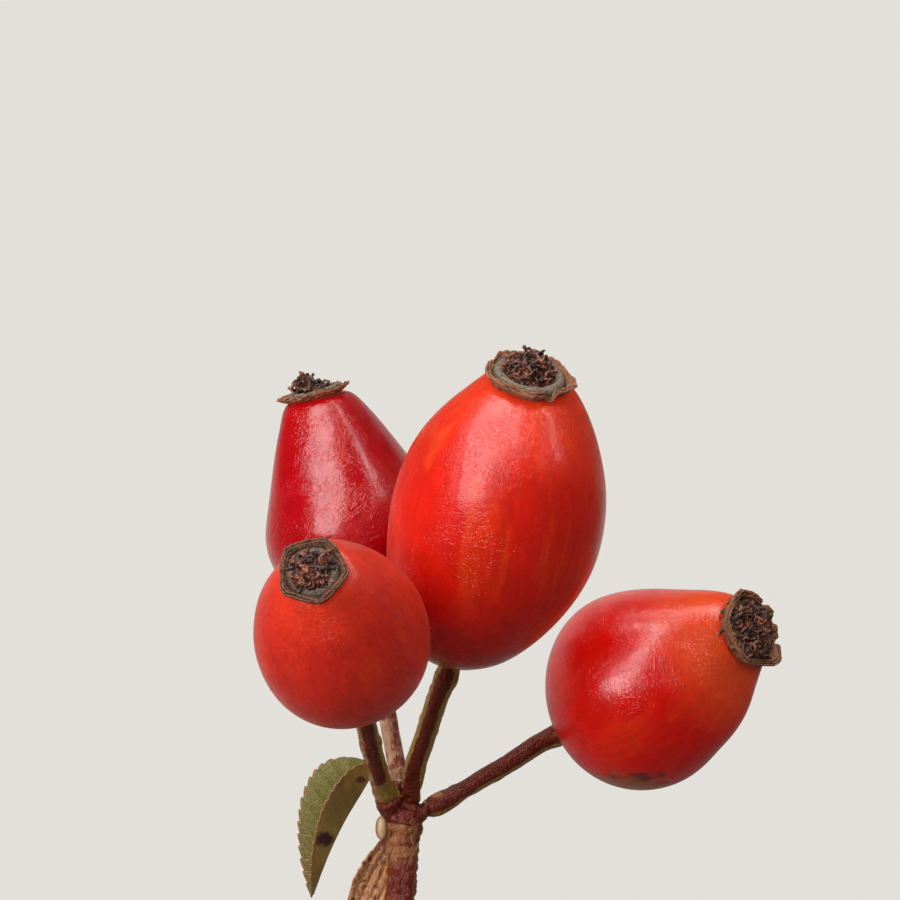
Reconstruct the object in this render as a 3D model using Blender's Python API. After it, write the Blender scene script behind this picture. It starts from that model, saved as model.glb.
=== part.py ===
"""Rose hip sprig: four ripe hips on short stalks that fork from one woody stem.

The sprig is designed in its own growing frame, in millimetres: the origin is the
fork, +X is right, +Y runs from the fork towards the hips' tips, and +Z is the side
that is seen when it lies on a table. lay_down() then turns the whole sprig until
it rests on the three points that carry it, with the origin under its middle.
"""

import math
from collections import namedtuple

import bmesh
import bpy
import numpy as np
from mathutils import Matrix, Vector, noise

MM = 0.001
JOINT_GAP = 0.08            # clearance between pieces that touch on the real sprig
REST_FACING = 0.9           # a resting face looks away from the seen side at least so much

# ---- hips -------------------------------------------------------------------
# base and tip: ends of the fleshy body; radius: its widest half-width, reached at
# the fraction `widest` of its length; neck: radius under the dry crown; taper and
# roundness: exponents of the upper and the lower half; bow: sideways bend of the
# middle; crown_lean and crown_turn: how far the crown faces the viewer and right.
Hip = namedtuple("Hip", "base tip radius widest neck taper roundness bow crown_lean "
                        "crown_turn crown_radius colour")
HIPS = {
    "centre": Hip((2.94, 9.25, 6.8), (7.80, 26.90, 11.7), 6.64, 0.52, 2.62, 2.35, 1.82,
                  0.20, 13, -3, 2.76, (0.83, 0.16, 0.06)),
    "back": Hip((-1.70, 12.00, -0.05), (-5.45, 26.10, 0.05), 5.78, 0.44, 2.05, 1.17, 2.10,
                0.10, 5, 0, 2.20, (0.62, 0.03, 0.05)),
    "front": Hip((-3.00, 8.70, 11.2), (-5.14, 15.30, 22.1), 5.46, 0.42, 2.05, 1.75, 2.78,
                 0.13, 8, 0, 2.24, (0.68, 0.08, 0.03)),
    "right": Hip((10.44, 4.50, -4.3), (21.42, 11.42, 0.9), 6.36, 0.42, 2.22, 1.75, 1.95,
                 -0.42, 17, 11, 2.45, (0.66, 0.04, 0.02)),
}
HIP_SECTORS = 28
HIP_RINGS = 20
CROWN_RIBS = 5              # shallow ribs that run out of the five sepal scars
RIB_DEPTH = 0.020           # as a fraction of the radius
CROWN_ZONE = 0.78           # the rings tilt and the ribs grow above this fraction

# ---- dry crown and style tuft, as fractions of the crown's radius ------------
CROWN_SECTORS = 30
CROWN_HEIGHT = 0.36
RIM_WIDTH = 0.24
FLOOR_HEIGHT = 0.17
RIM_WAVE = 0.045
TUFT_RADIUS = 0.58
TUFT_HEIGHT = 0.42
TUFT_SECTORS = 18
TUFT_RINGS = 6

# ---- stalks: route points and (place along the route, radius) pairs ----------
Stalk = namedtuple("Stalk", "route radii colour")
STALKS = {
    "centre": Stalk([(0.50, 1.15, 0.1), (0.80, 3.1, 1.6), (1.44, 5.0, 3.3), (2.03, 6.9, 5.1),
                     (2.70, 8.7, 6.45)],
                    [(0, 0.55), (0.15, 0.68), (0.6, 0.66), (0.9, 0.70), (1, 0.78)],
                    (0.12, 0.04, 0.025)),
    "back": Stalk([(-0.25, 1.65, -0.95), (-0.42, 3.0, -1.0), (-0.90, 5.5, -0.9),
                   (-1.40, 9.0, -0.4), (-1.62, 11.5, -0.1)],
                  [(0, 0.48), (0.15, 0.58), (0.8, 0.56), (1, 0.66)],
                  (0.35, 0.16, 0.09)),
    "front": Stalk([(-0.95, 0.75, 0.35), (-1.25, 1.6, 1.5), (-1.70, 3.2, 4.1),
                    (-2.10, 5.0, 7.0), (-2.60, 7.1, 9.6), (-2.90, 8.3, 10.7)],
                   [(0, 0.60), (0.06, 0.78), (0.13, 0.70), (0.3, 0.62), (0.9, 0.64), (1, 0.75)],
                   (0.20, 0.09, 0.035)),
    "right": Stalk([(1.38, 0.35, -0.85), (2.94, 1.10, -1.6), (4.8, 2.12, -2.7), (6.7, 3.16, -3.8),
                    (8.5, 4.15, -4.6), (9.85, 4.80, -4.75)],
                   [(0, 0.60), (0.1, 0.74), (0.3, 0.58), (0.8, 0.62), (1, 0.74)],
                   (0.16, 0.05, 0.035)),
}
STALK_SIDES = 12
STALK_RINGS = 16

# ---- stem, cut off plainly at its lower end ----------------------------------
STEM_ROUTE = [(-0.75, -13.0, 0.4), (-0.38, -8.5, -0.1), (-0.12, -4.0, -0.4), (0.05, 0.0, -0.6)]
STEM_RADII = [(0, 0.98), (0.6, 0.97), (0.84, 1.02), (0.93, 1.22), (1, 1.15)]
STEM_SIDES = 16
STEM_RINGS = 18
STEM_COLOUR = (0.22, 0.07, 0.045)

# ---- folded leaflet ----------------------------------------------------------
MIDRIB = [(-1.80, 2.70, -0.3), (-2.65, 1.25, -0.25), (-3.75, -0.6, -0.25), (-4.75, -2.7, -0.3),
          (-5.65, -5.05, -0.4)]
LEAF_HALF_WIDTH = 3.30
LEAF_THICKNESS = 0.18
LEAF_TEETH = 11
TOOTH_DEPTH = 0.26
FRONT_HALF_RISE = 54        # degrees that each half leans towards the viewer
BACK_HALF_RISE = 7
LEAF_COLOUR = (0.16, 0.11, 0.025)

# ---- dry bract ---------------------------------------------------------------
BRACT_SPINE = [(-0.50, -1.75, -1.9), (-1.30, -3.4, -1.8), (-2.20, -5.0, -1.5), (-2.95, -6.4, -1.1)]
BRACT_HALF_WIDTH = 1.35
BRACT_THICKNESS = 0.16
BRACT_CURL = 0.45           # how far the free edge rises, in millimetres
BRACT_COLOUR = (0.37, 0.16, 0.06)

# ---- bud ---------------------------------------------------------------------
BUD_CENTRE = (-1.42, -1.15, -0.15)
BUD_RADIUS = 0.33
BUD_HALF_LENGTH = 0.9
BUD_COLOUR = (0.60, 0.40, 0.25)

CROWN_COLOUR = (0.10, 0.05, 0.035)
TUFT_COLOUR = (0.06, 0.025, 0.018)


def material(name, colour, roughness):
    """A plain Principled material."""
    mat = bpy.data.materials.new(name)
    mat.use_nodes = True
    shader = mat.node_tree.nodes["Principled BSDF"]
    shader.inputs["Base Color"].default_value = (*colour, 1.0)
    shader.inputs["Roughness"].default_value = roughness
    shader.inputs["Metallic"].default_value = 0.0
    return mat


def smooth_step(low, high, value):
    x = min(1.0, max(0.0, (value - low) / (high - low)))
    return x * x * (3.0 - 2.0 * x)


def curve_point(points, s):
    """Catmull-Rom curve through the points, s from 0 to 1."""
    spans = len(points) - 1
    i = min(int(s * spans), spans - 1)
    u = s * spans - i
    padded = [2 * Vector(points[0]) - Vector(points[1])]
    padded += [Vector(p) for p in points]
    padded += [2 * Vector(points[-1]) - Vector(points[-2])]
    a, b, c, d = padded[i:i + 4]
    return 0.5 * (2 * b + (c - a) * u + (2 * a - 5 * b + 4 * c - d) * u ** 2
                  + (3 * b - a - 3 * c + d) * u ** 3)


def along(pairs, s):
    """Value at s from (place, value) pairs, eased between them."""
    for (s0, v0), (s1, v1) in zip(pairs, pairs[1:]):
        if s <= s1:
            return v0 + (v1 - v0) * smooth_step(s0, s1, s)
    return pairs[-1][1]


def body_from_rings(name, rings, mat, start=None, end=None):
    """Closed body from rings of points, closed by a fan to start and to end."""
    bm = bmesh.new()
    rows = [[bm.verts.new(Vector(p) * MM) for p in ring] for ring in rings]
    count = len(rows[0])
    for low, high in zip(rows, rows[1:]):
        for j in range(count):
            k = (j + 1) % count
            bm.faces.new((low[j], low[k], high[k], high[j]))
    for row, tip in ((rows[0][::-1], start), (rows[-1], end)):
        middle = sum((v.co for v in row), Vector()) / count
        pole = bm.verts.new(Vector(tip) * MM if tip is not None else middle)
        for j in range(count):
            bm.faces.new((row[j], row[(j + 1) % count], pole))
    bmesh.ops.recalc_face_normals(bm, faces=bm.faces)
    return finish_mesh(name, bm, mat)


def finish_mesh(name, bm, mat):
    mesh = bpy.data.meshes.new(name)
    bm.to_mesh(mesh)
    bm.free()
    mesh.shade_smooth()
    mesh.set_sharp_from_angle(angle=math.radians(50))
    mesh.materials.append(mat)
    obj = bpy.data.objects.new(name, mesh)
    bpy.context.collection.objects.link(obj)
    return obj


def hip_length(hip):
    return (Vector(hip.tip) - Vector(hip.base)).length


def hip_frame(hip):
    """Placement with +Z along the hip, +X to its right and -Y to the viewer."""
    z_axis = (Vector(hip.tip) - Vector(hip.base)).normalized()
    x_axis = z_axis.cross(Vector((0, 0, 1))).normalized()
    y_axis = z_axis.cross(x_axis)
    turn = Matrix((x_axis, y_axis, z_axis)).transposed()
    return Matrix.Translation(Vector(hip.base) * MM) @ turn.to_4x4()


def crown_tilt(hip, share=1.0):
    lean = Matrix.Rotation(math.radians(hip.crown_lean * share), 4, "X")
    turn = Matrix.Rotation(math.radians(hip.crown_turn * share), 4, "Y")
    return turn @ lean


def hip_radius(hip, t):
    if t < hip.widest:
        fall = (hip.widest - t) / hip.widest
        return hip.radius * (1.0 - fall ** hip.roundness) ** (1.0 / hip.roundness)
    rise = (t - hip.widest) / (1.0 - hip.widest)
    return hip.radius - (hip.radius - hip.neck) * rise ** hip.taper


def make_hip(name, hip, mat):
    """Fleshy body: rings from the stalk to the crown, ribbed and tilted at the top."""
    length = hip_length(hip)
    rings = []
    for i in range(1, HIP_RINGS + 1):
        t = 0.5 - 0.5 * math.cos(math.pi * i / (HIP_RINGS + 0.6))
        near_crown = smooth_step(CROWN_ZONE, 1.0, t)
        tilt = crown_tilt(hip, near_crown)
        centre = Vector((hip.bow * math.sin(math.pi * t), 0, length * t))
        ring = []
        for j in range(HIP_SECTORS):
            angle = 2 * math.pi * j / HIP_SECTORS
            rib = 1.0 + RIB_DEPTH * near_crown * math.cos(CROWN_RIBS * angle)
            radius = hip_radius(hip, t) * rib
            offset = Vector((radius * math.cos(angle), radius * math.sin(angle), 0))
            ring.append(centre + tilt @ offset)
        rings.append(ring)
    obj = body_from_rings(name, rings, mat, start=(0, 0, 0))
    obj.matrix_world = hip_frame(hip)
    return obj


def crown_matrix(hip):
    """Placement of the dry crown: on the hip's tip, facing along the crown's lean."""
    seat = Matrix.Translation(Vector((0, 0, hip_length(hip) + JOINT_GAP)) * MM)
    return hip_frame(hip) @ seat @ crown_tilt(hip)


def make_crown(name, hip, mat, seed):
    """Dry receptacle rim: a shallow dish with a thick, wavy, flared edge."""
    r = hip.crown_radius
    top = CROWN_HEIGHT * r
    profile = [(hip.neck * 0.55, 0.0), (hip.neck * 0.97, 0.0), (r * 0.90, top * 0.42),
               (r, top * 0.80), (r * 0.97, top), (r * (1 - 0.5 * RIM_WIDTH), top * 1.04),
               (r * (1 - RIM_WIDTH), top * 0.86), (r * (1 - 1.35 * RIM_WIDTH), FLOOR_HEIGHT * r),
               (r * 0.30, FLOOR_HEIGHT * r)]
    rings = []
    for radius, height in profile:
        edge = smooth_step(0.75 * r, r, radius)
        ring = []
        for j in range(CROWN_SECTORS):
            angle = 2 * math.pi * j / CROWN_SECTORS
            place = Vector((math.cos(angle) * 1.3, math.sin(angle) * 1.3, seed * 7.3))
            wave = noise.noise(place) * RIM_WAVE * 2.2 + RIM_WAVE * 0.6 * math.cos(5 * angle)
            reach = radius * (1 + wave * edge)
            lift = height + wave * r * 1.2 * edge
            ring.append((reach * math.cos(angle), reach * math.sin(angle), lift))
        rings.append(ring)
    obj = body_from_rings(name, rings, mat, start=(0, 0, 0), end=(0, 0, FLOOR_HEIGHT * r))
    obj.matrix_world = crown_matrix(hip)
    return obj


def make_tuft(name, hip, mat, seed):
    """Dried style tuft: a lumpy low dome standing on the crown's floor."""
    r = hip.crown_radius * TUFT_RADIUS
    foot = FLOOR_HEIGHT * hip.crown_radius + JOINT_GAP
    height = hip.crown_radius * TUFT_HEIGHT
    rings = []
    for i in range(TUFT_RINGS):
        rise = math.sin(0.5 * math.pi * i / TUFT_RINGS)
        spread = math.cos(0.5 * math.pi * i / TUFT_RINGS) ** 0.6
        ring = []
        for j in range(TUFT_SECTORS):
            angle = 2 * math.pi * j / TUFT_SECTORS
            place = Vector((2.6 * math.cos(angle), 2.6 * math.sin(angle), i * 0.9 + seed * 5.1))
            lump = 1 + 0.22 * noise.noise(place)
            reach = r * spread * lump
            ring.append((reach * math.cos(angle), reach * math.sin(angle), foot + height * rise))
        rings.append(ring)
    obj = body_from_rings(name, rings, mat, end=(0, 0, foot + height * 1.03))
    obj.matrix_world = crown_matrix(hip)
    return obj


def make_tube(name, route, radii, sides, ring_count, mat, ridge=0.03):
    """Tube along a smooth route with a varying radius and three faint ridges."""
    samples = [curve_point(route, i / (ring_count - 1)) for i in range(ring_count)]
    side = Vector((0, 0, 1))
    rings = []
    for i, centre in enumerate(samples):
        before = samples[max(i - 1, 0)]
        after = samples[min(i + 1, ring_count - 1)]
        tangent = (after - before).normalized()
        side = (side - tangent * side.dot(tangent)).normalized()
        across = tangent.cross(side)
        radius = along(radii, i / (ring_count - 1))
        ring = []
        for j in range(sides):
            angle = 2 * math.pi * j / sides
            reach = radius * (1 + ridge * math.cos(3 * angle))
            ring.append(centre + side * reach * math.cos(angle) + across * reach * math.sin(angle))
        rings.append(ring)
    return body_from_rings(name, rings, mat)


def make_stem(mat):
    """Woody stem with a plain cut below and a swollen, rounded head at the fork."""
    samples = [curve_point(STEM_ROUTE, i / (STEM_RINGS - 1)) for i in range(STEM_RINGS)]
    head = STEM_RADII[-1][1]
    end_direction = (samples[-1] - samples[-2]).normalized()
    side = Vector((0, 0, 1))
    rings = []
    for i, centre in enumerate(samples):
        tangent = (samples[min(i + 1, STEM_RINGS - 1)] - samples[max(i - 1, 0)]).normalized()
        side = (side - tangent * side.dot(tangent)).normalized()
        across = tangent.cross(side)
        radius = along(STEM_RADII, i / (STEM_RINGS - 1))
        rings.append([centre + side * radius * math.cos(2 * math.pi * j / STEM_SIDES)
                      + across * radius * math.sin(2 * math.pi * j / STEM_SIDES)
                      for j in range(STEM_SIDES)])
    for step in (0.35, 0.65, 0.88):
        shift = end_direction * head * step
        shrink = math.sqrt(1 - step ** 2)
        rings.append([samples[-1] + shift + (p - samples[-1]) * shrink
                      for p in rings[STEM_RINGS - 1]])
    return body_from_rings("stem", rings, mat, end=samples[-1] + end_direction * head)


def leaf_width(s):
    """Ovate outline of one half, in half-widths, from the base s=0 to the tip s=1."""
    return math.sin(math.pi * s ** 0.62) ** 0.80 if 0 < s < 1 else 0.0


def make_leaf(mat):
    """Leaflet folded along its midrib, each half with forward-pointing teeth."""
    steps = LEAF_TEETH * 3
    columns = 4
    bm = bmesh.new()
    rows = []
    for i in range(steps + 1):
        s = i / steps
        rib = curve_point(MIDRIB, s)
        tangent = (curve_point(MIDRIB, min(s + 0.02, 1)) - curve_point(MIDRIB, max(s - 0.02, 0)))
        tangent.normalize()
        left = Vector((0, 0, 1)).cross(tangent).normalized()
        if left.x > 0:
            left.negate()
        lift = left.cross(tangent)
        if lift.z < 0:
            lift.negate()
        base_lobe = tangent * 0.6 * (1 - s) ** 3
        tooth = ((i % 3) / 2) * TOOTH_DEPTH * smooth_step(0, 0.15, s) * smooth_step(1, 0.93, s)
        width = max(0.12, LEAF_HALF_WIDTH * leaf_width(s)) - tooth
        row = []
        for rise in (BACK_HALF_RISE, FRONT_HALF_RISE):
            out = left * math.cos(math.radians(rise)) + lift * math.sin(math.radians(rise))
            half = [rib + out * max(width, 0.1) * c / columns
                    + (tangent * 0.35 - base_lobe) * (c / columns) ** 2
                    for c in range(columns, 0, -1)]
            row.append(half)
        points = row[0] + [rib] + row[1][::-1]
        rows.append([bm.verts.new(p * MM) for p in points])
    for low, high in zip(rows, rows[1:]):
        for c in range(2 * columns):
            bm.faces.new((low[c], low[c + 1], high[c + 1], high[c]))
    bmesh.ops.recalc_face_normals(bm, faces=bm.faces)
    obj = finish_mesh("leaf", bm, mat)
    thicken(obj, LEAF_THICKNESS)
    return obj


def make_bract(mat):
    """Curled papery bract that stands out behind the stem, down and to the left."""
    steps = 12
    columns = 8
    bm = bmesh.new()
    rows = []
    for i in range(steps + 1):
        s = i / steps
        spine = curve_point(BRACT_SPINE, s)
        tangent = (curve_point(BRACT_SPINE, min(s + 0.03, 1))
                   - curve_point(BRACT_SPINE, max(s - 0.03, 0))).normalized()
        across = tangent.cross(Vector((0, 0, 1))).normalized()
        width = BRACT_HALF_WIDTH * (0.30 + 0.70 * math.sin(math.pi * min(1, 0.12 + 0.75 * s)))
        row = []
        for c in range(columns + 1):
            place = 2 * c / columns - 1
            ripple = 0.10 * math.sin(9 * s + 3 * place)
            lift = Vector((0, 0, (BRACT_CURL + ripple) * max(0.0, place) ** 2))
            row.append(bm.verts.new((spine + across * width * place + lift) * MM))
        rows.append(row)
    for low, high in zip(rows, rows[1:]):
        for c in range(columns):
            bm.faces.new((low[c], low[c + 1], high[c + 1], high[c]))
    bmesh.ops.recalc_face_normals(bm, faces=bm.faces)
    obj = finish_mesh("dry_bract", bm, mat)
    thicken(obj, BRACT_THICKNESS)
    return obj


def thicken(obj, thickness):
    wall = obj.modifiers.new("thickness", "SOLIDIFY")
    wall.thickness = thickness * MM
    wall.offset = 0.0
    wall.use_rim = True


def make_bud(mat):
    """Small pale bud lying against the stem just below the fork."""
    rings = []
    for i in range(1, 10):
        polar = math.pi * i / 10
        radius = BUD_RADIUS * math.sin(polar)
        height = -BUD_HALF_LENGTH * math.cos(polar)
        rings.append([(radius * math.cos(2 * math.pi * j / 14), height,
                       radius * math.sin(2 * math.pi * j / 14)) for j in range(14)])
    obj = body_from_rings("bud", rings, mat, start=(0, -BUD_HALF_LENGTH, 0),
                          end=(0, BUD_HALF_LENGTH, 0))
    obj.location = Vector(BUD_CENTRE) * MM
    return obj


def solid_points(obj, graph):
    """World points and triangles of an object as it is evaluated."""
    mesh = obj.evaluated_get(graph).to_mesh()
    mesh.calc_loop_triangles()
    points = np.array([obj.matrix_world @ v.co for v in mesh.vertices])
    faces = np.array([t.vertices[:] for t in mesh.loop_triangles])
    obj.evaluated_get(graph).to_mesh_clear()
    return points, faces


def centre_of_mass(solids):
    """Common centre of solids of equal density, from their signed tetrahedra."""
    total = 0.0
    moment = np.zeros(3)
    for points, faces in solids:
        a, b, c = (points[faces[:, k]] for k in range(3))
        volume = np.einsum("ij,ij->i", a, np.cross(b, c)) / 6
        total += volume.sum()
        moment += ((a + b + c) / 4 * volume[:, None]).sum(axis=0)
    return Vector(moment / total)


def resting_normal(points, centre):
    """Outward normal of the hull face, away from the seen side, that carries it best."""
    bm = bmesh.new()
    for p in points:
        bm.verts.new(p)
    hull = bmesh.ops.convex_hull(bm, input=bm.verts)
    best_margin = 0.0
    best_normal = None
    for face in hull["geom"]:
        if not isinstance(face, bmesh.types.BMFace):
            continue
        face.normal_update()
        normal = face.normal.copy()
        corners = [v.co for v in face.verts]
        if normal.dot(corners[0] - centre) < 0:
            normal.negate()
            corners.reverse()
        foot = centre + normal * normal.dot(corners[0] - centre)
        margin = min((b - a).normalized().cross(foot - a).dot(normal)
                     for a, b in zip(corners, corners[1:] + corners[:1]))
        if margin > best_margin and normal.z < -REST_FACING:
            best_margin = margin
            best_normal = normal
    bm.free()
    return best_normal


def lay_down(root, pieces):
    """Turn the sprig onto its three resting points and centre it over the origin."""
    bpy.context.view_layer.update()
    graph = bpy.context.evaluated_depsgraph_get()
    solids = [solid_points(obj, graph) for obj in pieces]
    cloud = np.vstack([points for points, faces in solids])
    normal = resting_normal(cloud, centre_of_mass(solids))
    turn = normal.rotation_difference(Vector((0, 0, -1))).to_matrix()
    tips = turn @ Vector((0, 1, 0))
    yaw = math.pi / 2 - math.atan2(tips.y, tips.x)
    turn = Matrix.Rotation(yaw, 3, "Z") @ turn
    turned = cloud @ np.array(turn).T
    low, high = turned.min(axis=0), turned.max(axis=0)
    middle = (low + high) / 2
    root.matrix_world = (Matrix.Translation((-middle[0], -middle[1], -low[2]))
                         @ turn.to_4x4())


def make_sprig():
    pieces = [make_stem(material("stem_bark", STEM_COLOUR, 0.45))]
    crown_mat = material("dry_crown", CROWN_COLOUR, 0.85)
    tuft_mat = material("style_tuft", TUFT_COLOUR, 0.8)
    for seed, (place, hip) in enumerate(HIPS.items()):
        stalk = STALKS[place]
        skin = material(f"skin_{place}", hip.colour, 0.28)
        bark = material(f"stalk_bark_{place}", stalk.colour, 0.5)
        pieces.append(make_hip(f"hip_{place}", hip, skin))
        pieces.append(make_crown(f"calyx_{place}", hip, crown_mat, seed))
        pieces.append(make_tuft(f"styles_{place}", hip, tuft_mat, seed))
        pieces.append(make_tube(f"stalk_{place}", stalk.route, stalk.radii, STALK_SIDES,
                                STALK_RINGS, bark))
    pieces.append(make_leaf(material("leaf_blade", LEAF_COLOUR, 0.55)))
    pieces.append(make_bract(material("dry_bract", BRACT_COLOUR, 0.75)))
    pieces.append(make_bud(material("bud_scale", BUD_COLOUR, 0.6)))
    root = bpy.data.objects.new("sprig", None)
    bpy.context.collection.objects.link(root)
    for obj in pieces:
        obj.parent = root
    lay_down(root, pieces)


for old in list(bpy.data.objects):
    bpy.data.objects.remove(old, do_unlink=True)
make_sprig()
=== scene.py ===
"""Look of a rose hip sprig, built on its packed CAD frame and laid out as an add-on."""

import math

import bmesh
import bpy
import numpy as np
from mathutils import Matrix, Vector, noise
from mathutils.bvhtree import BVHTree
from mathutils.kdtree import KDTree


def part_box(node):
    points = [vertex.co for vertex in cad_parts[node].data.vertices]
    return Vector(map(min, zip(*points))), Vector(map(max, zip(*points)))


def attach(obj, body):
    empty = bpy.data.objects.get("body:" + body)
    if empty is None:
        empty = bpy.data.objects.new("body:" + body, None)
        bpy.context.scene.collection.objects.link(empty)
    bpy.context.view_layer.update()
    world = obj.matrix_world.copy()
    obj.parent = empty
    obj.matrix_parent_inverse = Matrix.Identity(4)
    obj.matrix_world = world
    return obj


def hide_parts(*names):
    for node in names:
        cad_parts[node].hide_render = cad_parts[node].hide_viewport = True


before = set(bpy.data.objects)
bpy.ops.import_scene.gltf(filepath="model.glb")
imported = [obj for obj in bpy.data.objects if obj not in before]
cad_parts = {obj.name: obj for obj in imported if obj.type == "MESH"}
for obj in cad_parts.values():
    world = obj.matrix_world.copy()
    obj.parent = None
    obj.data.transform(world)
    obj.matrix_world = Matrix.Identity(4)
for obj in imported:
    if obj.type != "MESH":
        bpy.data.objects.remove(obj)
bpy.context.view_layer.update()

bl_info = {
    "name": "Rose Hip Sprig",
    "version": (1, 0, 0),
    "blender": (4, 5, 0),
    "location": "View3D > Sidebar > Sprig",
    "description": "Builds the skins, crowns, bark and leaf of a rose hip sprig",
    "category": "Object",
}

MM = 0.001
PLACES = ("centre", "back", "front", "right")

# The side of the sprig that is seen, the level direction beside it, and the fork.
SEEN_FROM = Vector((-0.241, -0.180, 0.9537)).normalized()
VIEW_UP = Vector((0.0, SEEN_FROM.z, -SEEN_FROM.y)).normalized()
VIEW_RIGHT = VIEW_UP.cross(SEEN_FROM).normalized()
VIEW_AXES = np.array([VIEW_RIGHT, VIEW_UP, SEEN_FROM])
FORK = Vector((-0.00515, -0.00724, 0.00317))


def grown(x, y, z):
    """Frame position of a point given in millimetres from the fork: right, up, nearer."""
    return FORK + (VIEW_RIGHT * x + VIEW_UP * y + SEEN_FROM * z) * MM


# =============================================================================
# Settings
# =============================================================================

def colour_property(name, default, description):
    return bpy.props.FloatVectorProperty(name=name, description=description, subtype="COLOR",
                                         size=3, min=0.0, max=1.0, default=default)


def length_property(name, default, description):
    return bpy.props.FloatProperty(name=name, description=description, subtype="DISTANCE",
                                   unit="LENGTH", min=0.0, precision=5, default=default)


def factor_property(name, default, description, highest=1.0):
    return bpy.props.FloatProperty(name=name, description=description, subtype="FACTOR",
                                   min=0.0, max=highest, default=default)


# Each hip darkens from neck to stalk: partly the skin's own deeper crimson, partly painted shade on
# the stalk end.
SKIN_LOOKS = {
    "centre": dict(low=(0.48, 0.003, 0.005), ripe=(0.74, 0.014, 0.005),
                   neck=(0.88, 0.046, 0.012), sun=(0.92, 0.082, 0.012),
                   bloom=(1.00, 0.50, 0.26), gloss=0.17, shine=0.50, haze=0.45, specks=0.35,
                   speck_tone=0.75, ribs=0.024),
    "back": dict(low=(0.42, 0.001, 0.004), ripe=(0.45, 0.001, 0.005),
                 neck=(0.50, 0.003, 0.005), sun=(0.54, 0.012, 0.004),
                 bloom=(0.90, 0.22, 0.20), gloss=0.10, shine=0.62, haze=0.22, specks=0.55,
                 speck_tone=1.4, ribs=0.018),
    "front": dict(low=(0.58, 0.014, 0.007), ripe=(0.72, 0.022, 0.010),
                  neck=(0.86, 0.042, 0.013), sun=(0.88, 0.050, 0.012),
                  bloom=(1.00, 0.42, 0.27), gloss=0.33, shine=0.60, haze=0.30, specks=0.75,
                  speck_tone=0.35, ribs=0.016),
    # The right hip's neck and sun colours are salmon, partly painted highlight for the bright band
    # under its crown.
    "right": dict(low=(0.66, 0.003, 0.003), ripe=(0.80, 0.006, 0.002),
                  neck=(0.95, 0.082, 0.015), sun=(0.92, 0.050, 0.006),
                  bloom=(1.00, 0.45, 0.30), gloss=0.19, shine=0.75, haze=0.14, specks=0.45,
                  speck_tone=0.6, ribs=0.013),
}


def skin_settings(place, look):
    """Property group class for one hip, with that hip's colours as its defaults."""
    fields = {
        "low": colour_property("Low", look["low"], "Skin colour at the stalk"),
        "ripe": colour_property("Ripe", look["ripe"], "Skin colour round the middle"),
        "neck": colour_property("Neck", look["neck"], "Skin colour under the crown"),
        "sun": colour_property("Sun", look["sun"], "Colour of the streaks that ripened in the sun"),
        "bloom": colour_property("Bloom", look["bloom"], "Waxy bloom that shows at grazing light"),
        "gloss": factor_property("Gloss", look["gloss"], "Roughness of the skin"),
        "shine": factor_property("Shine", look["shine"], "Strength of the skin's reflections"),
        "haze": factor_property("Haze", look["haze"], "Strength of the bloom at grazing light"),
        "specks": factor_property("Specks", look["specks"], "Share of skin pores that show"),
        "speck_tone": factor_property("Speck tone", look["speck_tone"],
                                      "Pores darker than the skin below 1, paler above", 2.0),
        "ribs": factor_property("Ribs", look["ribs"], "Depth of the ribs below the crown"),
    }
    return type(f"SprigSkin{place.title()}", (bpy.types.PropertyGroup,),
                {"__annotations__": fields, "__doc__": f"Skin of the {place} hip."})


SKIN_CLASSES = {place: skin_settings(place, look) for place, look in SKIN_LOOKS.items()}


class SprigCrownSettings(bpy.types.PropertyGroup):
    """Dry crowns and their style tufts."""
    bark_dark: colour_property("Dark fibre", (0.085, 0.030, 0.017), "Hollows between the fibres")
    bark_pale: colour_property("Pale fibre", (0.560, 0.235, 0.110), "Raised fibres of the rim")
    bark_rust: colour_property("Rusty fibre", (0.26, 0.085, 0.035), "Rusty patches of the rim")
    felt_pale: colour_property("Felt", (0.60, 0.48, 0.38), "Grey hairs of the disc")
    felt_dark: colour_property("Felt hollows", (0.085, 0.050, 0.035), "Hollows of the disc")
    wine: colour_property("Wine", (0.130, 0.014, 0.012), "Red flesh at the foot of a tuft")
    tuft_dark: colour_property("Styles", (0.040, 0.013, 0.008), "Withered styles")
    tuft_pale: colour_property("Style tips", (0.450, 0.125, 0.050), "Tips of the styles")
    thread_radius: length_property("Thread radius", 0.000094, "Radius of one withered style")
    thread_length: length_property("Thread height", 0.00066, "Height of one curled style")


class SprigBarkSettings(bpy.types.PropertyGroup):
    """Bark of the stem and the stalks."""
    # Maroon and olive: the twig's own sun flush, and the olive on edges seen edge-on is also
    # painted edge light.
    maroon: colour_property("Maroon", (0.130, 0.014, 0.008), "Side flushed by the sun")
    olive: colour_property("Olive", (0.380, 0.235, 0.045), "Shaded side")
    cream: colour_property("Cream", (0.600, 0.360, 0.210), "Pale young bark")
    rose: colour_property("Rose", (0.36, 0.080, 0.055), "Flushed patches of the young bark")
    tan: colour_property("Tan", (0.450, 0.225, 0.085), "Dry patches below the fork")
    rust: colour_property("Rust", (0.270, 0.046, 0.016), "Ridges of the stem")
    dashes: colour_property("Dashes", (0.46, 0.20, 0.075), "Corky dashes")
    stain: colour_property("Stain", (0.46, 0.19, 0.06), "Pale stain on the right stalk")
    pits: colour_property("Pits", (0.014, 0.006, 0.005), "Dark pits and joints")
    wrinkle: length_property("Wrinkle", 0.000120, "Height of the bark's ridges")
    grid: length_property("Grid", 0.000085, "Spacing of the bark's mesh")


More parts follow.
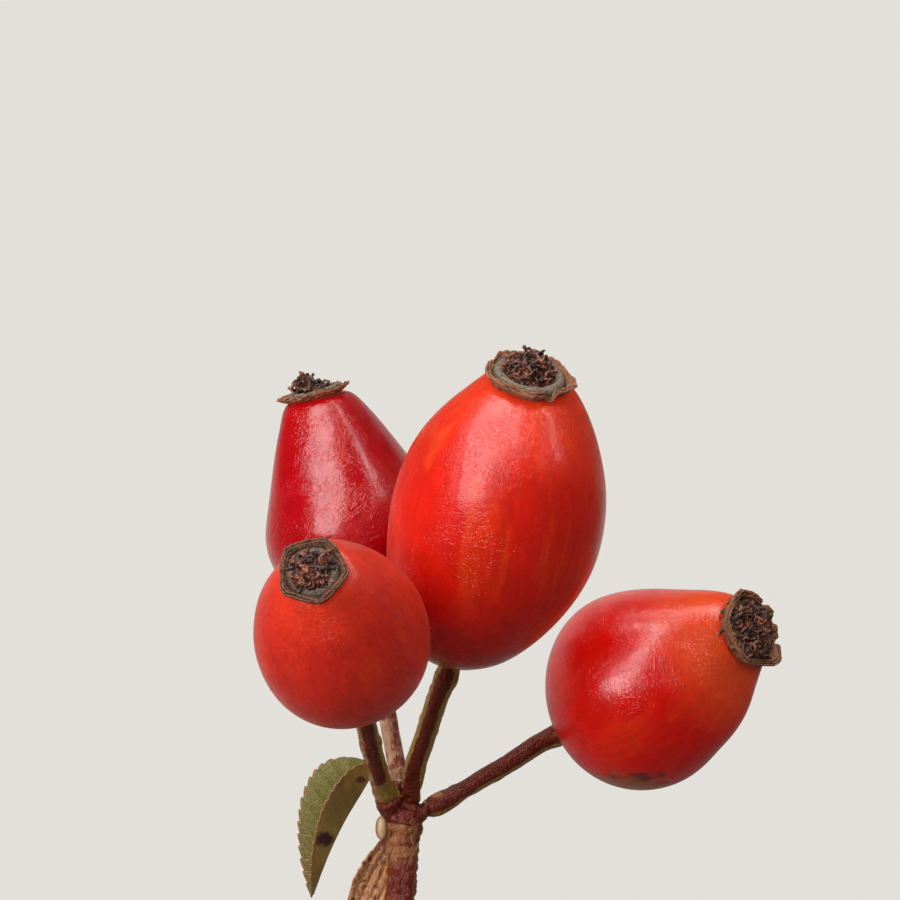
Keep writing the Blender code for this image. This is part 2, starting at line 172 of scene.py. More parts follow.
class SprigLeafSettings(bpy.types.PropertyGroup):
    """Folded leaflet, papery bract and bud."""
    green: colour_property("Green", (0.145, 0.140, 0.010), "Back half of the leaflet")
    olive: colour_property("Olive", (0.540, 0.350, 0.085), "Front half of the leaflet")
    blotch: colour_property("Blotch", (0.21, 0.165, 0.035), "Darker blotches of the leaflet")
    russet: colour_property("Russet", (0.21, 0.095, 0.030), "Tip of the leaflet")
    vein: colour_property("Vein", (0.34, 0.27, 0.085), "Veins of the leaflet")
    edge: colour_property("Edge", (0.300, 0.150, 0.045), "Dry edge of the leaflet")
    spot: colour_property("Spot", (0.060, 0.016, 0.018), "Dark spots on the leaflet")
    bract: colour_property("Bract", (0.640, 0.280, 0.115), "Papery bract")
    bract_cells: colour_property("Bract cells", (0.140, 0.042, 0.018), "Dry cells of the bract")
    bract_vein: colour_property("Bract vein", (0.62, 0.36, 0.19), "Veins of the bract")
    bud: colour_property("Bud", (0.580, 0.400, 0.215), "Bud scale")
    bud_pale: colour_property("Bud, pale", (0.80, 0.66, 0.47), "Pale patches of the bud")
    bud_edge: colour_property("Bud edge", (0.46, 0.16, 0.045), "Rusty edge of the bud")
    half_width: length_property("Half width", 0.0033, "Widest half of the leaflet")
    tooth: length_property("Tooth", 0.00018, "Depth of the leaflet's teeth")


class SprigStageSettings(bpy.types.PropertyGroup):
    """Floor, lights and camera."""
    floor: colour_property("Floor", (0.768, 0.745, 0.701), "Colour of the floor and the backdrop")
    bounce: factor_property("Bounce", 0.40, "Light that the floor throws back at the sprig")
    fill: factor_property("Fill", 0.16, "Soft light from all round the room")
    sheen: factor_property("Sheen", 0.09, "How much of the room the glossy skins mirror")
    glow: factor_property("Glow", 0.80, "Floor beside the sprig, as the skins' edges mirror it",
                          4.0)
    distance: length_property("Distance", 0.70, "From the camera to the sprig")
    view_width: length_property("View width", 0.05625, "Width that the camera takes in")
    panel_size: length_property("Panel size", 0.167, "Side of each square soft light")
    panel_distance: length_property("Panel distance", 0.45, "From the soft lights to the sprig")
    brightness: factor_property("Brightness", 1.0, "All the soft lights together", 4.0)


# =============================================================================
# Reading the frame
# =============================================================================

WELD = 1e-7                 # corners of a CAD node closer than this are one, in metres


def read_body(node, near):
    """Two poles of a lathed CAD node, the one by near first, and a tree for rays."""
    bm = bmesh.new()
    bm.from_mesh(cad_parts[node].data)
    bmesh.ops.remove_doubles(bm, verts=bm.verts, dist=WELD)
    poles = sorted(bm.verts, key=lambda v: -len(v.link_edges))[:2]
    poles.sort(key=lambda v: (v.co - near).length)
    start, end = (pole.co.copy() for pole in poles)
    tree = BVHTree.FromBMesh(bm)
    bm.free()
    return start, end, tree


def placement(origin, z_axis, towards):
    """Frame matrix with +Z along z_axis and -Y facing towards."""
    z_axis = z_axis.normalized()
    y_axis = -(towards - z_axis * towards.dot(z_axis)).normalized()
    x_axis = y_axis.cross(z_axis)
    turn = Matrix((x_axis, y_axis, z_axis)).transposed()
    return Matrix.Translation(origin) @ turn.to_4x4()


def middle_of(node):
    low, high = (Vector(corner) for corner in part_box(node))
    return (low + high) / 2


def to_frame(matrix, points):
    """Points in a piece's own millimetres, taken to the frame."""
    points = np.asarray(points, dtype=float).reshape(-1, 3)
    turn = np.array(matrix.to_3x3())
    return points @ turn.T * MM + np.array(matrix.translation)


def to_own(matrix, points):
    """Frame points, taken to a piece's own millimetres."""
    points = np.asarray(points, dtype=float).reshape(-1, 3)
    turn = np.array(matrix.to_3x3())
    return (points - np.array(matrix.translation)) @ turn / MM


# =============================================================================
# Shapes and masks
# =============================================================================

def spline(points, count):
    """Catmull-Rom points through an array, along its first axis."""
    points = np.asarray(points, dtype=float)
    last = len(points) - 1
    s = np.linspace(0, last, count)
    i = np.minimum(s.astype(int), last - 1)
    u = (s - i).reshape((-1,) + (1,) * (points.ndim - 1))
    padded = np.concatenate([2 * points[:1] - points[1:2], points,
                             2 * points[-1:] - points[-2:-1]])
    a, b, c, d = (padded[i + k] for k in (0, 1, 2, 3))
    return 0.5 * (2 * b + (c - a) * u + (2 * a - 5 * b + 4 * c - d) * u ** 2
                  + (3 * b - a - 3 * c + d) * u ** 3)


def smooth_step(low, high, value):
    x = np.clip((value - low) / (high - low), 0.0, 1.0)
    return x * x * (3.0 - 2.0 * x)


def unit_rows(vectors):
    return vectors / np.linalg.norm(vectors, axis=1, keepdims=True)


def round_angles(count):
    """Even angles once round, in radians."""
    return np.linspace(0, 2 * np.pi, count, endpoint=False)


def ring_points(angle, reach, height):
    """Points round +Z, one for each angle."""
    return np.stack([reach * np.cos(angle), reach * np.sin(angle),
                     np.broadcast_to(height, angle.shape)], axis=1)


def noise_at(points, scale, octaves, seed=0.0):
    """Fractal noise, about -1 to 1, at each row of points."""
    shift = Vector((seed * 17.3, seed * 5.9, seed * 11.1))
    return np.array([noise.fractal(Vector(p) * scale + shift, 0.9, 2.1, octaves)
                     for p in points])


def around_noise(count, frequency, seed, octaves=4):
    """Closed noise round a ring, about -1 to 1."""
    return noise_at(ring_points(round_angles(count), frequency, seed * 2.7), 1.0, octaves)


def mark(points, strength, where, radii, seed, ragged):
    """Soft ragged mask round a place in fork millimetres; radii along right, up and nearer."""
    offset = (points - np.array(grown(*where))) / MM
    reach = np.linalg.norm(offset @ VIEW_AXES.T / np.array(radii), axis=1)
    reach = reach + ragged * noise_at(offset, 1.3, 3, seed)
    return strength * (1.0 - smooth_step(0.55, 1.05, reach))


# =============================================================================
# Making meshes
# =============================================================================

def add_object(name, data):
    """New object in the scene, at the origin."""
    obj = bpy.data.objects.new(name, data)
    bpy.context.scene.collection.objects.link(obj)
    return obj


def finish_piece(name, verts, faces, material, **attributes):
    """Smooth object at the origin from frame positions, with its point attributes."""
    mesh = bpy.data.meshes.new(name)
    mesh.from_pydata([tuple(v) for v in verts], [], [tuple(f) for f in faces])
    for key, values in attributes.items():
        values = np.asarray(values, dtype=np.float32)
        kind, field = ("FLOAT_VECTOR", "vector") if values.ndim == 2 else ("FLOAT", "value")
        mesh.attributes.new(key, kind, "POINT").data.foreach_set(field, values.ravel())
    mesh.shade_smooth()
    mesh.materials.append(material)
    mesh.validate()
    return add_object(name, mesh)


def lathe(grid, closed_rows=False):
    """Vertices and outward faces of a grid (rows, sectors, 3), closed round its sectors."""
    rows, sectors = grid.shape[:2]
    verts = [tuple(p) for p in grid.reshape(-1, 3)]
    faces = []
    for i in range(rows if closed_rows else rows - 1):
        low = i * sectors
        high = ((i + 1) % rows) * sectors
        for j in range(sectors):
            k = (j + 1) % sectors
            faces.append((low + j, low + k, high + k, high + j))
    if not closed_rows:
        verts += [tuple(grid[0].mean(axis=0)), tuple(grid[-1].mean(axis=0))]
        bottom = len(verts) - 2
        top = len(verts) - 1
        last = (rows - 1) * sectors
        for j in range(sectors):
            k = (j + 1) % sectors
            faces.append((k, j, bottom))
            faces.append((last + j, last + k, top))
    return verts, faces


def join_parts(parts):
    """One (verts, faces) pair from several."""
    verts = []
    faces = []
    for part_verts, part_faces in parts:
        start = len(verts)
        verts += list(part_verts)
        faces += [tuple(i + start for i in face) for face in part_faces]
    return verts, faces


def plain_mesh(obj, name):
    """The evaluated object as a new plain object, with the old one removed."""
    graph = bpy.context.evaluated_depsgraph_get()
    mesh = bpy.data.meshes.new_from_object(obj.evaluated_get(graph), preserve_all_data_layers=True,
                                           depsgraph=graph)
    mesh.name = name
    bpy.data.objects.remove(obj, do_unlink=True)
    return add_object(name, mesh)


def through_nodes(obj, tree, name, inputs):
    """Plain result of a Geometry Nodes tree, its inputs set by their sockets' identifiers."""
    modifier = obj.modifiers.new(name, "NODES")
    modifier.node_group = tree
    sockets = {item.name: item.identifier for item in tree.interface.items_tree
               if item.item_type == "SOCKET" and item.in_out == "INPUT"}
    for key, value in inputs.items():
        modifier[sockets[key]] = value
    return plain_mesh(obj, name)


# =============================================================================
# Node helpers
# =============================================================================

VALUE = "NodeSocketFloat"
WHOLE = "NodeSocketInt"
VECTOR = "NodeSocketVector"
COLOUR = "NodeSocketColor"
GEOMETRY = "NodeSocketGeometry"
MATERIAL = "NodeSocketMaterial"


class Tree:
    """Short way to add nodes to one tree and join them."""

    def __init__(self, tree):
        self.tree = tree

    def feed(self, node, inputs):
        """Set a node's inputs, by a link where the value is another node's socket."""
        for key, value in inputs.items():
            socket = node.inputs[key]
            if isinstance(value, bpy.types.NodeSocket):
                self.tree.links.new(value, socket)
            elif socket.type == "RGBA":
                socket.default_value = (*value[:3], 1.0)
            else:
                socket.default_value = value

    def add(self, kind, inputs=None, **settings):
        node = self.tree.nodes.new(kind)
        for name, value in settings.items():
            setattr(node, name, value)
        self.feed(node, inputs or {})
        return node

    def math(self, operation, a, b=0.0, clamp=False):
        node = self.add("ShaderNodeMath", {0: a, 1: b}, operation=operation, use_clamp=clamp)
        return node.outputs[0]

    def plus(self, a, b, clamp=False):
        return self.math("ADD", a, b, clamp)

    def minus(self, a, b, clamp=False):
        return self.math("SUBTRACT", a, b, clamp)

    def times(self, a, b):
        return self.math("MULTIPLY", a, b)

    def off_middle(self, value):
        """How far a value of 0 to 1 is from 0.5."""
        return self.math("ABSOLUTE", self.minus(value, 0.5))

    def vector_math(self, operation, a, b=(0.0, 0.0, 0.0)):
        node = self.add("ShaderNodeVectorMath", {0: a, 1: b}, operation=operation)
        return node.outputs["Value" if operation in ("LENGTH", "DOT_PRODUCT") else "Vector"]

    def stretch(self, vector, x, y, z):
        return self.vector_math("MULTIPLY", vector, (x, y, z))

    def scaled(self, vector, factor):
        """A vector or a colour times one number."""
        node = self.add("ShaderNodeVectorMath", {0: vector, "Scale": factor}, operation="SCALE")
        return node.outputs["Vector"]

    def noise(self, vector, scale, detail=2.0, roughness=0.5, distortion=0.0):
        node = self.add("ShaderNodeTexNoise", {"Vector": vector, "Scale": scale, "Detail": detail,
                                               "Roughness": roughness, "Distortion": distortion})
        return node.outputs["Fac"]

    def voronoi(self, vector, scale, feature="F1"):
        node = self.add("ShaderNodeTexVoronoi", {"Vector": vector, "Scale": scale},
                        feature=feature)
        return node.outputs

    def band(self, value, low, high, to_low=0.0, to_high=1.0):
        """Smooth step of value from low..high to to_low..to_high."""
        node = self.add("ShaderNodeMapRange", {"Value": value, "From Min": low, "From Max": high,
                                               "To Min": to_low, "To Max": to_high},
                        interpolation_type="SMOOTHSTEP")
        return node.outputs["Result"]

    def mix(self, factor, a, b):
        """Colour between a and b."""
        return self.add("ShaderNodeMix", {0: factor, 6: a, 7: b}, data_type="RGBA").outputs[2]

    def attribute(self, name, output="Fac"):
        return self.add("ShaderNodeAttribute", attribute_name=name).outputs[output]

    def own_place(self):
        """The piece's own position, in millimetres."""
        return self.attribute("own_place", "Vector")

    def group(self, group, inputs):
        return self.add("ShaderNodeGroup", inputs, node_tree=group).outputs

    def bump(self, height, distance, before=None):
        """Normal of a height over the surface, on top of another normal where one is given."""
        inputs = {"Height": height, "Distance": distance}
        if before is not None:
            inputs["Normal"] = before
        return self.add("ShaderNodeBump", inputs).outputs["Normal"]


def new_group(name, kind, inputs, outputs):
    """New node group: its tree helper, its input sockets and its output node."""
    tree = bpy.data.node_groups.new(name, kind)
    for key, socket_kind, *default in inputs:
        socket = tree.interface.new_socket(key, in_out="INPUT", socket_type=socket_kind)
        if default:
            socket.default_value = default[0]
    for key, socket_kind in outputs:
        tree.interface.new_socket(key, in_out="OUTPUT", socket_type=socket_kind)
    source = tree.nodes.new("NodeGroupInput")
    sink = tree.nodes.new("NodeGroupOutput")
    return Tree(tree), source.outputs, sink


def new_material(name):
    """New material with a Principled shader: the material, its tree helper and the shader."""
    mat = bpy.data.materials.new(name)
    mat.use_nodes = True
    return mat, Tree(mat.node_tree), mat.node_tree.nodes["Principled BSDF"]


# ---- shared effects ---------------------------------------------------------

def pore_group():
    """Mask of scattered round pores, from a position in millimetres."""
    t, source, sink = new_group(
        "Pores", "ShaderNodeTree", [("Vector", VECTOR), ("Scale", VALUE, 1.0),
                                    ("Share", VALUE, 0.5), ("Size", VALUE, 0.1)],
        [("Mask", VALUE)])
    cells = t.voronoi(source["Vector"], source["Scale"])
    pick = t.add("ShaderNodeSeparateColor", {0: cells["Color"]}).outputs
    chosen = t.math("LESS_THAN", pick[0], source["Share"])
    size = t.times(source["Size"], pick[1])
    inside = t.minus(1.0, t.math("DIVIDE", cells["Distance"], size), clamp=True)
    t.feed(sink, {"Mask": t.times(t.math("SQRT", inside), chosen)})
    return t.tree


def fibre_group():
    """Torn fibres: a mask and a height, from a position stretched along them."""
    t, source, sink = new_group("Fibres", "ShaderNodeTree",
                                [("Vector", VECTOR), ("Scale", VALUE, 4.0)],
                                [("Mask", VALUE), ("Height", VALUE)])
    coarse = t.noise(source["Vector"], source["Scale"], 3.0, 0.6, 0.3)
    fine = t.noise(source["Vector"], t.times(source["Scale"], 3.1), 2.0, 0.6, 0.2)
    ridge = t.minus(0.7, t.times(t.off_middle(coarse), 4.0))
    height = t.plus(t.times(fine, 0.45), ridge, clamp=True)
    t.feed(sink, {"Mask": t.band(height, 0.25, 0.85), "Height": height})
    return t.tree


def skin_group(pores):
    """Ripe fruit skin: streaked colour, roughness and leathery height."""
    t, source, sink = new_group(
        "Fruit skin", "ShaderNodeTree",
        [("Vector", VECTOR), ("Along", VALUE, 0.5), ("Low", COLOUR), ("Ripe", COLOUR),
         ("Neck", COLOUR), ("Sun", COLOUR), ("Gloss", VALUE, 0.3), ("Specks", VALUE, 0.5),
         ("Speck Tone", VALUE, 0.7)],
        [("Color", COLOUR), ("Roughness", VALUE), ("Height", VALUE), ("Fine Height", VALUE)])
    vector = source["Vector"]
    along = source["Along"]
    # From the stalk to the crown, darker at the stalk: partly the skin's own deeper crimson, partly
    # painted shade. Sunny streaks run the same way.
    drift = t.noise(vector, 0.16, 2.0)
    edge = t.plus(along, t.times(t.minus(drift, 0.5), 0.35))
    base = t.mix(t.band(edge, 0.02, 0.42), source["Low"], source["Ripe"])
    base = t.mix(t.band(edge, 0.70, 1.0), base, source["Neck"])
    streak = t.noise(t.stretch(vector, 1.0, 1.0, 0.13), 0.55, 3.0, 0.6, 0.2)
    sunny = t.times(t.band(streak, 0.50, 0.74), t.band(along, 0.10, 0.6))
    base = t.mix(t.times(sunny, 0.55), base, source["Sun"])
    # Thin darker lines, mottling and pores.
    thin = t.noise(t.stretch(vector, 1.0, 1.0, 0.2), 2.2, 3.0, 0.6)
    shade = t.band(thin, 0.3, 0.75, 0.92, 1.07)
    mottle = t.band(t.noise(vector, 0.8, 4.0, 0.6), 0.3, 0.7, 0.93, 1.05)
    toned = t.scaled(base, t.times(shade, mottle))
    small = t.group(pores, {"Vector": vector, "Scale": 1.35, "Share": source["Specks"],
                            "Size": 0.14})["Mask"]
    tiny = t.group(pores, {"Vector": vector, "Scale": 3.1, "Share": source["Specks"],
                           "Size": 0.16})["Mask"]
    specks = t.math("MAXIMUM", small, t.times(tiny, 0.6))
    colour = t.mix(t.times(specks, 0.8), toned, t.scaled(toned, source["Speck Tone"]))
    # Broad ripples, then the finest wrinkles: curled creases, grain and nested arcs.
    ripple = t.noise(t.stretch(vector, 1.0, 1.0, 1.5), 1.3, 2.0, 0.5, 0.8)
    wrinkled = t.band(t.noise(vector, 0.40, 2.0), 0.36, 0.64, 0.30, 1.0)
    crease = t.band(t.off_middle(t.noise(vector, 2.7, 1.0, 0.5, 1.3)), 0.0, 0.10)
    grain = t.noise(vector, 5.5, 2.0, 0.55, 0.8)
    swirl = t.noise(t.stretch(vector, 0.8, 0.8, 1.3), 0.75, 2.0, 0.45, 0.6)
    arcs = t.band(t.math("SINE", t.times(swirl, 95.0)), -0.6, 1.0)
    arcs = t.times(arcs, t.band(grain, 0.35, 0.60))
    fine = t.plus(t.plus(t.times(crease, 0.30), t.times(grain, 0.45)), t.times(arcs, 0.55))
    t.feed(sink, {"Color": colour,
                  "Roughness": t.plus(source["Gloss"], t.band(mottle, 0.93, 1.05, 0.04, -0.03)),
                  "Height": t.plus(ripple, t.times(specks, 0.25)),
                  "Fine Height": t.times(fine, wrinkled)})
    return t.tree


# =============================================================================
# Hips
# =============================================================================

HIP_ROWS = 132
HIP_SECTORS = 224
RAY_END = 0.004             # how near to the poles the outermost rays go, as a share of a half turn
RAY_FOOT = 0.22             # where on the axis the rays to the stalk start, as a share of it
RAY_RUN = 0.56              # how far their start moves on towards the crown
RING_WAVES = 7              # waves round a hip that are kept of its solid
BLEND_ROWS = 9              # rows on each side that are blended into a row, and how widely
BLEND_SPREAD = 3.2
BASE_DIMPLE = 0.25          # depth, in millimetres, round the stalk
FURROWS = 5
# Each hip over its solid. growth: overall; shift: millimetres right and up; lean: how far its
# foot leans left; oval: how oval its section is, and the turn of its flatter side; swell:
# fullness below the crown, all round and towards own +X; furrows: their turn from the seen side.
HIP_SHAPES = {
    "centre": dict(growth=1.010, shift=(0.17, -0.10), lean=0.40, oval=(0.0, 0.0),
                   swell=(0.0, 0.0), furrows=0.17),
    "back": dict(growth=1.004, shift=(0.14, 0.05), lean=0.0, oval=(0.072, 0.12),
                 swell=(0.05, 0.0), furrows=-0.09),
    "front": dict(growth=1.0, shift=(0.0, 0.0), lean=0.0, oval=(0.0, 0.0),
                  swell=(0.0, 0.0), furrows=0.45),
    "right": dict(growth=1.008, shift=(0.0, -0.10), lean=0.0, oval=(0.0, 0.0),
                  swell=(0.0, 0.12), furrows=-0.40),
}
# Marks on the skins: strength, place in fork millimetres, radii, seed and raggedness.
SCARS = {"right": (0.80, (14.9, 1.95, 2.6), (1.9, 0.62, 3.0), 4.0, 0.8)}
RUST_SPOTS = {"right": (0.75, (13.4, 1.55, -0.5), (3.6, 1.1, 3.4), 7.0, 0.45),
              "centre": (0.45, (2.3, 9.6, 8.5), (0.9, 0.9, 3.0), 5.0, 0.45)}
SCAR_COLOUR = (0.085, 0.022, 0.010)
RUST_COLOUR = (0.36, 0.11, 0.028)
FULL_SPECULAR = 0.60        # reflections of a skin whose shine is 1, and of the wax over it
FULL_WAX = 0.17
WAX_ROUGHNESS = 0.10
BLOOM_ROUGHNESS = 0.25
FLESH_SHARE = 0.30          # light that goes into the flesh, how far in metres, and per colour
FLESH_DEPTH = 0.0012
FLESH_SPREAD = (1.0, 0.22, 0.10)
WRINKLE_DEPTH = 0.000026
RIPPLE_DEPTH = 0.00002


def hip_material(place, look, group):
    mat, t, shader = new_material(f"skin_{place}")
    skin = t.group(group, {
        "Vector": t.own_place(), "Along": t.attribute("along"), "Low": look.low,
        "Ripe": look.ripe, "Neck": look.neck, "Sun": look.sun, "Gloss": look.gloss,
        "Specks": look.specks, "Speck Tone": look.speck_tone})
    scar = t.attribute("scar")
    colour = t.mix(scar, skin["Color"], SCAR_COLOUR)
    colour = t.mix(t.attribute("rust"), colour, RUST_COLOUR)
    fine = t.bump(skin["Fine Height"], WRINKLE_DEPTH)
    t.feed(shader, {
        "Base Color": colour, "Roughness": t.plus(skin["Roughness"], t.times(scar, 0.25)),
        "Specular IOR Level": FULL_SPECULAR * look.shine, "Coat Weight": FULL_WAX * look.shine,
        "Coat Roughness": WAX_ROUGHNESS, "Sheen Weight": look.haze,
        "Sheen Roughness": BLOOM_ROUGHNESS, "Sheen Tint": look.bloom,
        "Subsurface Weight": FLESH_SHARE, "Subsurface Radius": FLESH_SPREAD,
        "Subsurface Scale": FLESH_DEPTH, "Normal": t.bump(skin["Height"], RIPPLE_DEPTH, fine)})
    return mat


def cast_rows(tree, matrix, length):
    """Grid of own-millimetre points where rays that fan out of a hip's axis meet its solid."""
    turn = matrix.to_3x3()
    axis = (matrix @ Vector((0, 0, 1)) - matrix.translation)
    rows = []
    for w in np.linspace(RAY_END, 1 - RAY_END, HIP_ROWS):
        origin = matrix.translation + axis * length * MM * (RAY_FOOT + RAY_RUN * w)
        polar = math.pi * w
        row = []
        for angle in np.linspace(-math.pi, math.pi, HIP_SECTORS, endpoint=False):
            ray = turn @ Vector((math.sin(polar) * math.cos(angle),
                                 math.sin(polar) * math.sin(angle), -math.cos(polar)))
            row.append(tree.ray_cast(origin, ray)[0])
        rows.append(to_own(matrix, row))
    return np.array(rows)


def smooth_rows(grid):
    """A hip's grid without the facets of its solid, smoothed round its rings and along them."""
    waves = np.fft.fft(grid, axis=1)
    keep = np.abs(np.fft.fftfreq(HIP_SECTORS, 1 / HIP_SECTORS)) <= RING_WAVES
    grid = np.fft.ifft(waves * keep[None, :, None], axis=1).real
    half = HIP_SECTORS // 2
    before = np.roll(grid[:BLEND_ROWS][::-1], half, axis=1)
    after = np.roll(grid[-BLEND_ROWS:][::-1], half, axis=1)
    padded = np.concatenate([before, grid, after])
    kernel = np.exp(-(np.arange(-BLEND_ROWS, BLEND_ROWS + 1) / BLEND_SPREAD) ** 2)
    kernel /= kernel.sum()
    return sum(k * padded[i:i + HIP_ROWS] for i, k in enumerate(kernel))


def hip_surface(place, ribs):
    """A hip's matrix, its grid of own points from the stalk to the crown, and place along it."""
    shape = HIP_SHAPES[place]
    calyx = middle_of(f"calyx_{place}")
    start, end, tree = read_body(f"hip_{place}", near=2 * middle_of(f"hip_{place}") - calyx)
    matrix = placement(start, end - start, SEEN_FROM)
    length = (end - start).length / MM
    grid = smooth_rows(cast_rows(tree, matrix, length))
    centre = grid.mean(axis=1, keepdims=True)
    along = np.clip(grid[..., 2] / length, 0, 1)
    around = np.arctan2(grid[..., 1] - centre[..., 1], grid[..., 0] - centre[..., 0])
    seed = PLACES.index(place) + 1.0
    # Uneven growth, then furrows that deepen towards the crown.
    lumps = noise_at(grid.reshape(-1, 3), 0.14, 2, seed).reshape(along.shape)
    ring_noise = noise_at(ring_points(around[0], 1.8, seed * 3.1), 1.0, 3)
    facing = around + np.pi / 2 - shape["furrows"]
    furrow = 0.5 * ring_noise[None, :] - np.cos(FURROWS * facing)
    scale = 1.0 + 0.003 * lumps + ribs * furrow * smooth_step(0.35, 0.96, along)
    # Fullness below the crown, and an oval section.
    even, sideways = shape["swell"]
    swell = even + sideways * np.exp(-(around / 0.7) ** 2)
    scale = scale + swell * smooth_step(0.60, 0.92, along)
    oval, flat_side = shape["oval"]
    flatter = np.sin(2 * (around + np.pi / 2 - flat_side)) * smooth_step(0, 0.4, along)
    scale = scale - oval * flatter
    grid = centre + (grid - centre) * scale[..., None]
    grid[..., 2] += np.exp(-(along / 0.045) ** 2) * BASE_DIMPLE
    grid[0] = grid[1].mean(axis=0)
    return matrix, grid, along


def make_hip(place, look, group):
    shape = HIP_SHAPES[place]
    matrix, grid, along = hip_surface(place, look.ribs)
    verts, faces = lathe(grid)
    own = np.array(verts)
    along = np.concatenate([along.ravel(), [0.0, 1.0]])
    right, up = shape["shift"]
    middle = np.array(middle_of(f"hip_{place}"))
    points = middle + (to_frame(matrix, own) - middle) * shape["growth"]
    points = points + np.array(VIEW_RIGHT * right + VIEW_UP * up) * MM
    low = 1.0 - smooth_step(0.0, 0.45, along)
    points = points - low[:, None] * np.array(VIEW_RIGHT) * shape["lean"] * MM
    scar = np.zeros(len(points))
    if place in SCARS:
        scar = mark(points, *SCARS[place])
    rust = 0.35 * (1.0 - smooth_step(0.015, 0.07, along + 0.03 * noise_at(own, 0.9, 3, 2.0)))
    if place in RUST_SPOTS:
        rust = np.maximum(rust, mark(points, *RUST_SPOTS[place]))
    obj = finish_piece(f"skin_{place}", points, faces, hip_material(place, look, group),
                       own_place=own, along=along, scar=scar, rust=rust)
    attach(obj, "root")
    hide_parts(f"hip_{place}")


# =============================================================================
# Dry crowns
# =============================================================================

CROWN_LOOKS = {
    # shells: (radius, lip height, thickness) as fractions of the crown's radius
    # notches: (turn in degrees, half width in degrees, share of the lip torn away)
    # spur: (turn, half width, how far it sticks out as a share of the radius)
    # felt, tuft: reach of the felted ring and of the tuft, as fractions of the crown's radius
    # wine: how much red flesh shows beside the tuft; size, shift: the whole crown
    # tone: painted shade, how much darker a rim is painted where its crown sits in shadow
    "centre": dict(shells=[(1.00, 0.24, 0.060), (0.945, 0.27, 0.050), (0.89, 0.21, 0.045)],
                   notches=[(-148, 9, 0.85), (60, 14, 0.4)], corners=0.35, corner_turn=-30,
                   spur=(-95, 20, 0.05), felt=0.70, felt_share=0.50, wine=1.0, tuft=0.43,
                   tuft_height=0.46, tuft_shift=(0.10, 0.00), threads=76, flare=0.18, tone=1.0,
                   size=1.0, shift=(0.0, 0.0), seed=3),
    "back": dict(shells=[(1.05, 0.20, 0.07), (0.96, 0.23, 0.05), (0.90, 0.18, 0.04)],
                 notches=[(150, 12, 0.3), (-60, 12, 0.5)], corners=0.3, corner_turn=10,
                 spur=(90, 24, 0.05), felt=0.68, felt_share=0.45, wine=0.0, tuft=0.30,
                 tuft_height=0.60, tuft_shift=(0.0, 0.12), threads=30, flare=0.28, tone=1.0,
                 size=1.0, shift=(0.0, 0.0), seed=8),
    "front": dict(shells=[(1.00, 0.30, 0.11), (0.92, 0.33, 0.09), (0.84, 0.26, 0.06)],
                  notches=[(95, 10, 0.3), (-60, 12, 0.3)], corners=0.50, corner_turn=-24,
                  spur=(132, 13, 0.07), felt=0.62, felt_share=0.38, wine=0.0, tuft=0.50,
                  tuft_height=0.24, tuft_shift=(0.0, 0.02), threads=125, flare=0.12, tone=0.50,
                  size=0.90, shift=(0.12, 0.20), seed=11),
    "right": dict(shells=[(1.00, 0.30, 0.075), (0.935, 0.34, 0.05), (0.87, 0.30, 0.045)],
                  notches=[(-60, 10, 0.4), (-95, 6, 0.5), (-30, 7, 0.4)], corners=0.35,
                  corner_turn=24, spur=(-122, 24, 0.20), felt=0.66, felt_share=0.18, wine=0.0,
                  tuft=0.70, tuft_height=0.12, tuft_shift=(0.02, -0.02), threads=150,
                  flare=0.14, tone=0.85, size=1.0, shift=(0.0, 0.0), seed=17),
}
CORNERS = 5
RIM_SECTORS = 240
RIM_OUTER_ROWS = 14         # rows up the outside of a rim's layer, then down its inside
RIM_INNER_ROWS = 8
RIM_FOOT = -0.06            # where a layer starts, as a share of its lip's height
SHELL_SEED_STEP = 3.3       # apart enough for each layer to be torn in its own way
DISC_ROWS = 44              # of the felted disc, and its edge, middle and height as fractions
DISC_EDGE = 0.86
DISC_MIDDLE = 0.04
DISC_HEIGHT = 0.17


def crown_place(place):
    """Matrix of a crown, +Z out of its flat foot, and its radius in millimetres."""
    spec = CROWN_LOOKS[place]
    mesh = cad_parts[f"calyx_{place}"].data
    outward = middle_of(f"calyx_{place}") - middle_of(f"hip_{place}")
    areas = {}
    for face in mesh.polygons:
        key = tuple(round(v, 2) for v in face.normal)
        if face.normal.dot(outward) < 0:
            areas[key] = areas.get(key, 0.0) + face.area
    foot_normal = Vector(max(areas, key=areas.get)).normalized()
    foot = [face for face in mesh.polygons if face.normal.dot(foot_normal) > 0.9995]
    axis = -sum((face.normal * face.area for face in foot), Vector()).normalized()
    corners = np.array([mesh.vertices[i].co[:] for face in foot for i in face.vertices])
    matrix = placement(Vector((corners.min(axis=0) + corners.max(axis=0)) / 2), axis, VIEW_RIGHT)
    own = to_own(matrix, [v.co[:] for v in mesh.vertices])
    radius = np.percentile(np.linalg.norm(own[:, :2], axis=1), 93)
    matrix = matrix @ Matrix.Translation(Vector((*spec["shift"], 0.0)) * MM)
    return matrix, float(radius) * spec["size"]


def cornered(angle, turn):
    """Outline of a five-cornered crown, as a share of its mean radius."""
    fifth = 2 * np.pi / CORNERS
    within = (angle - math.radians(turn) + fifth / 2) % fifth - fifth / 2
    outline = 1 / np.cos(fifth / 2 - np.abs(within))
    return outline / outline.mean()


def turn_gap(angle, turn, half):
    """How far angles are from a turn in degrees, in half widths that are in degrees too."""
    gap = np.abs((angle - math.radians(turn) + np.pi) % (2 * np.pi) - np.pi)
    return gap / math.radians(half)


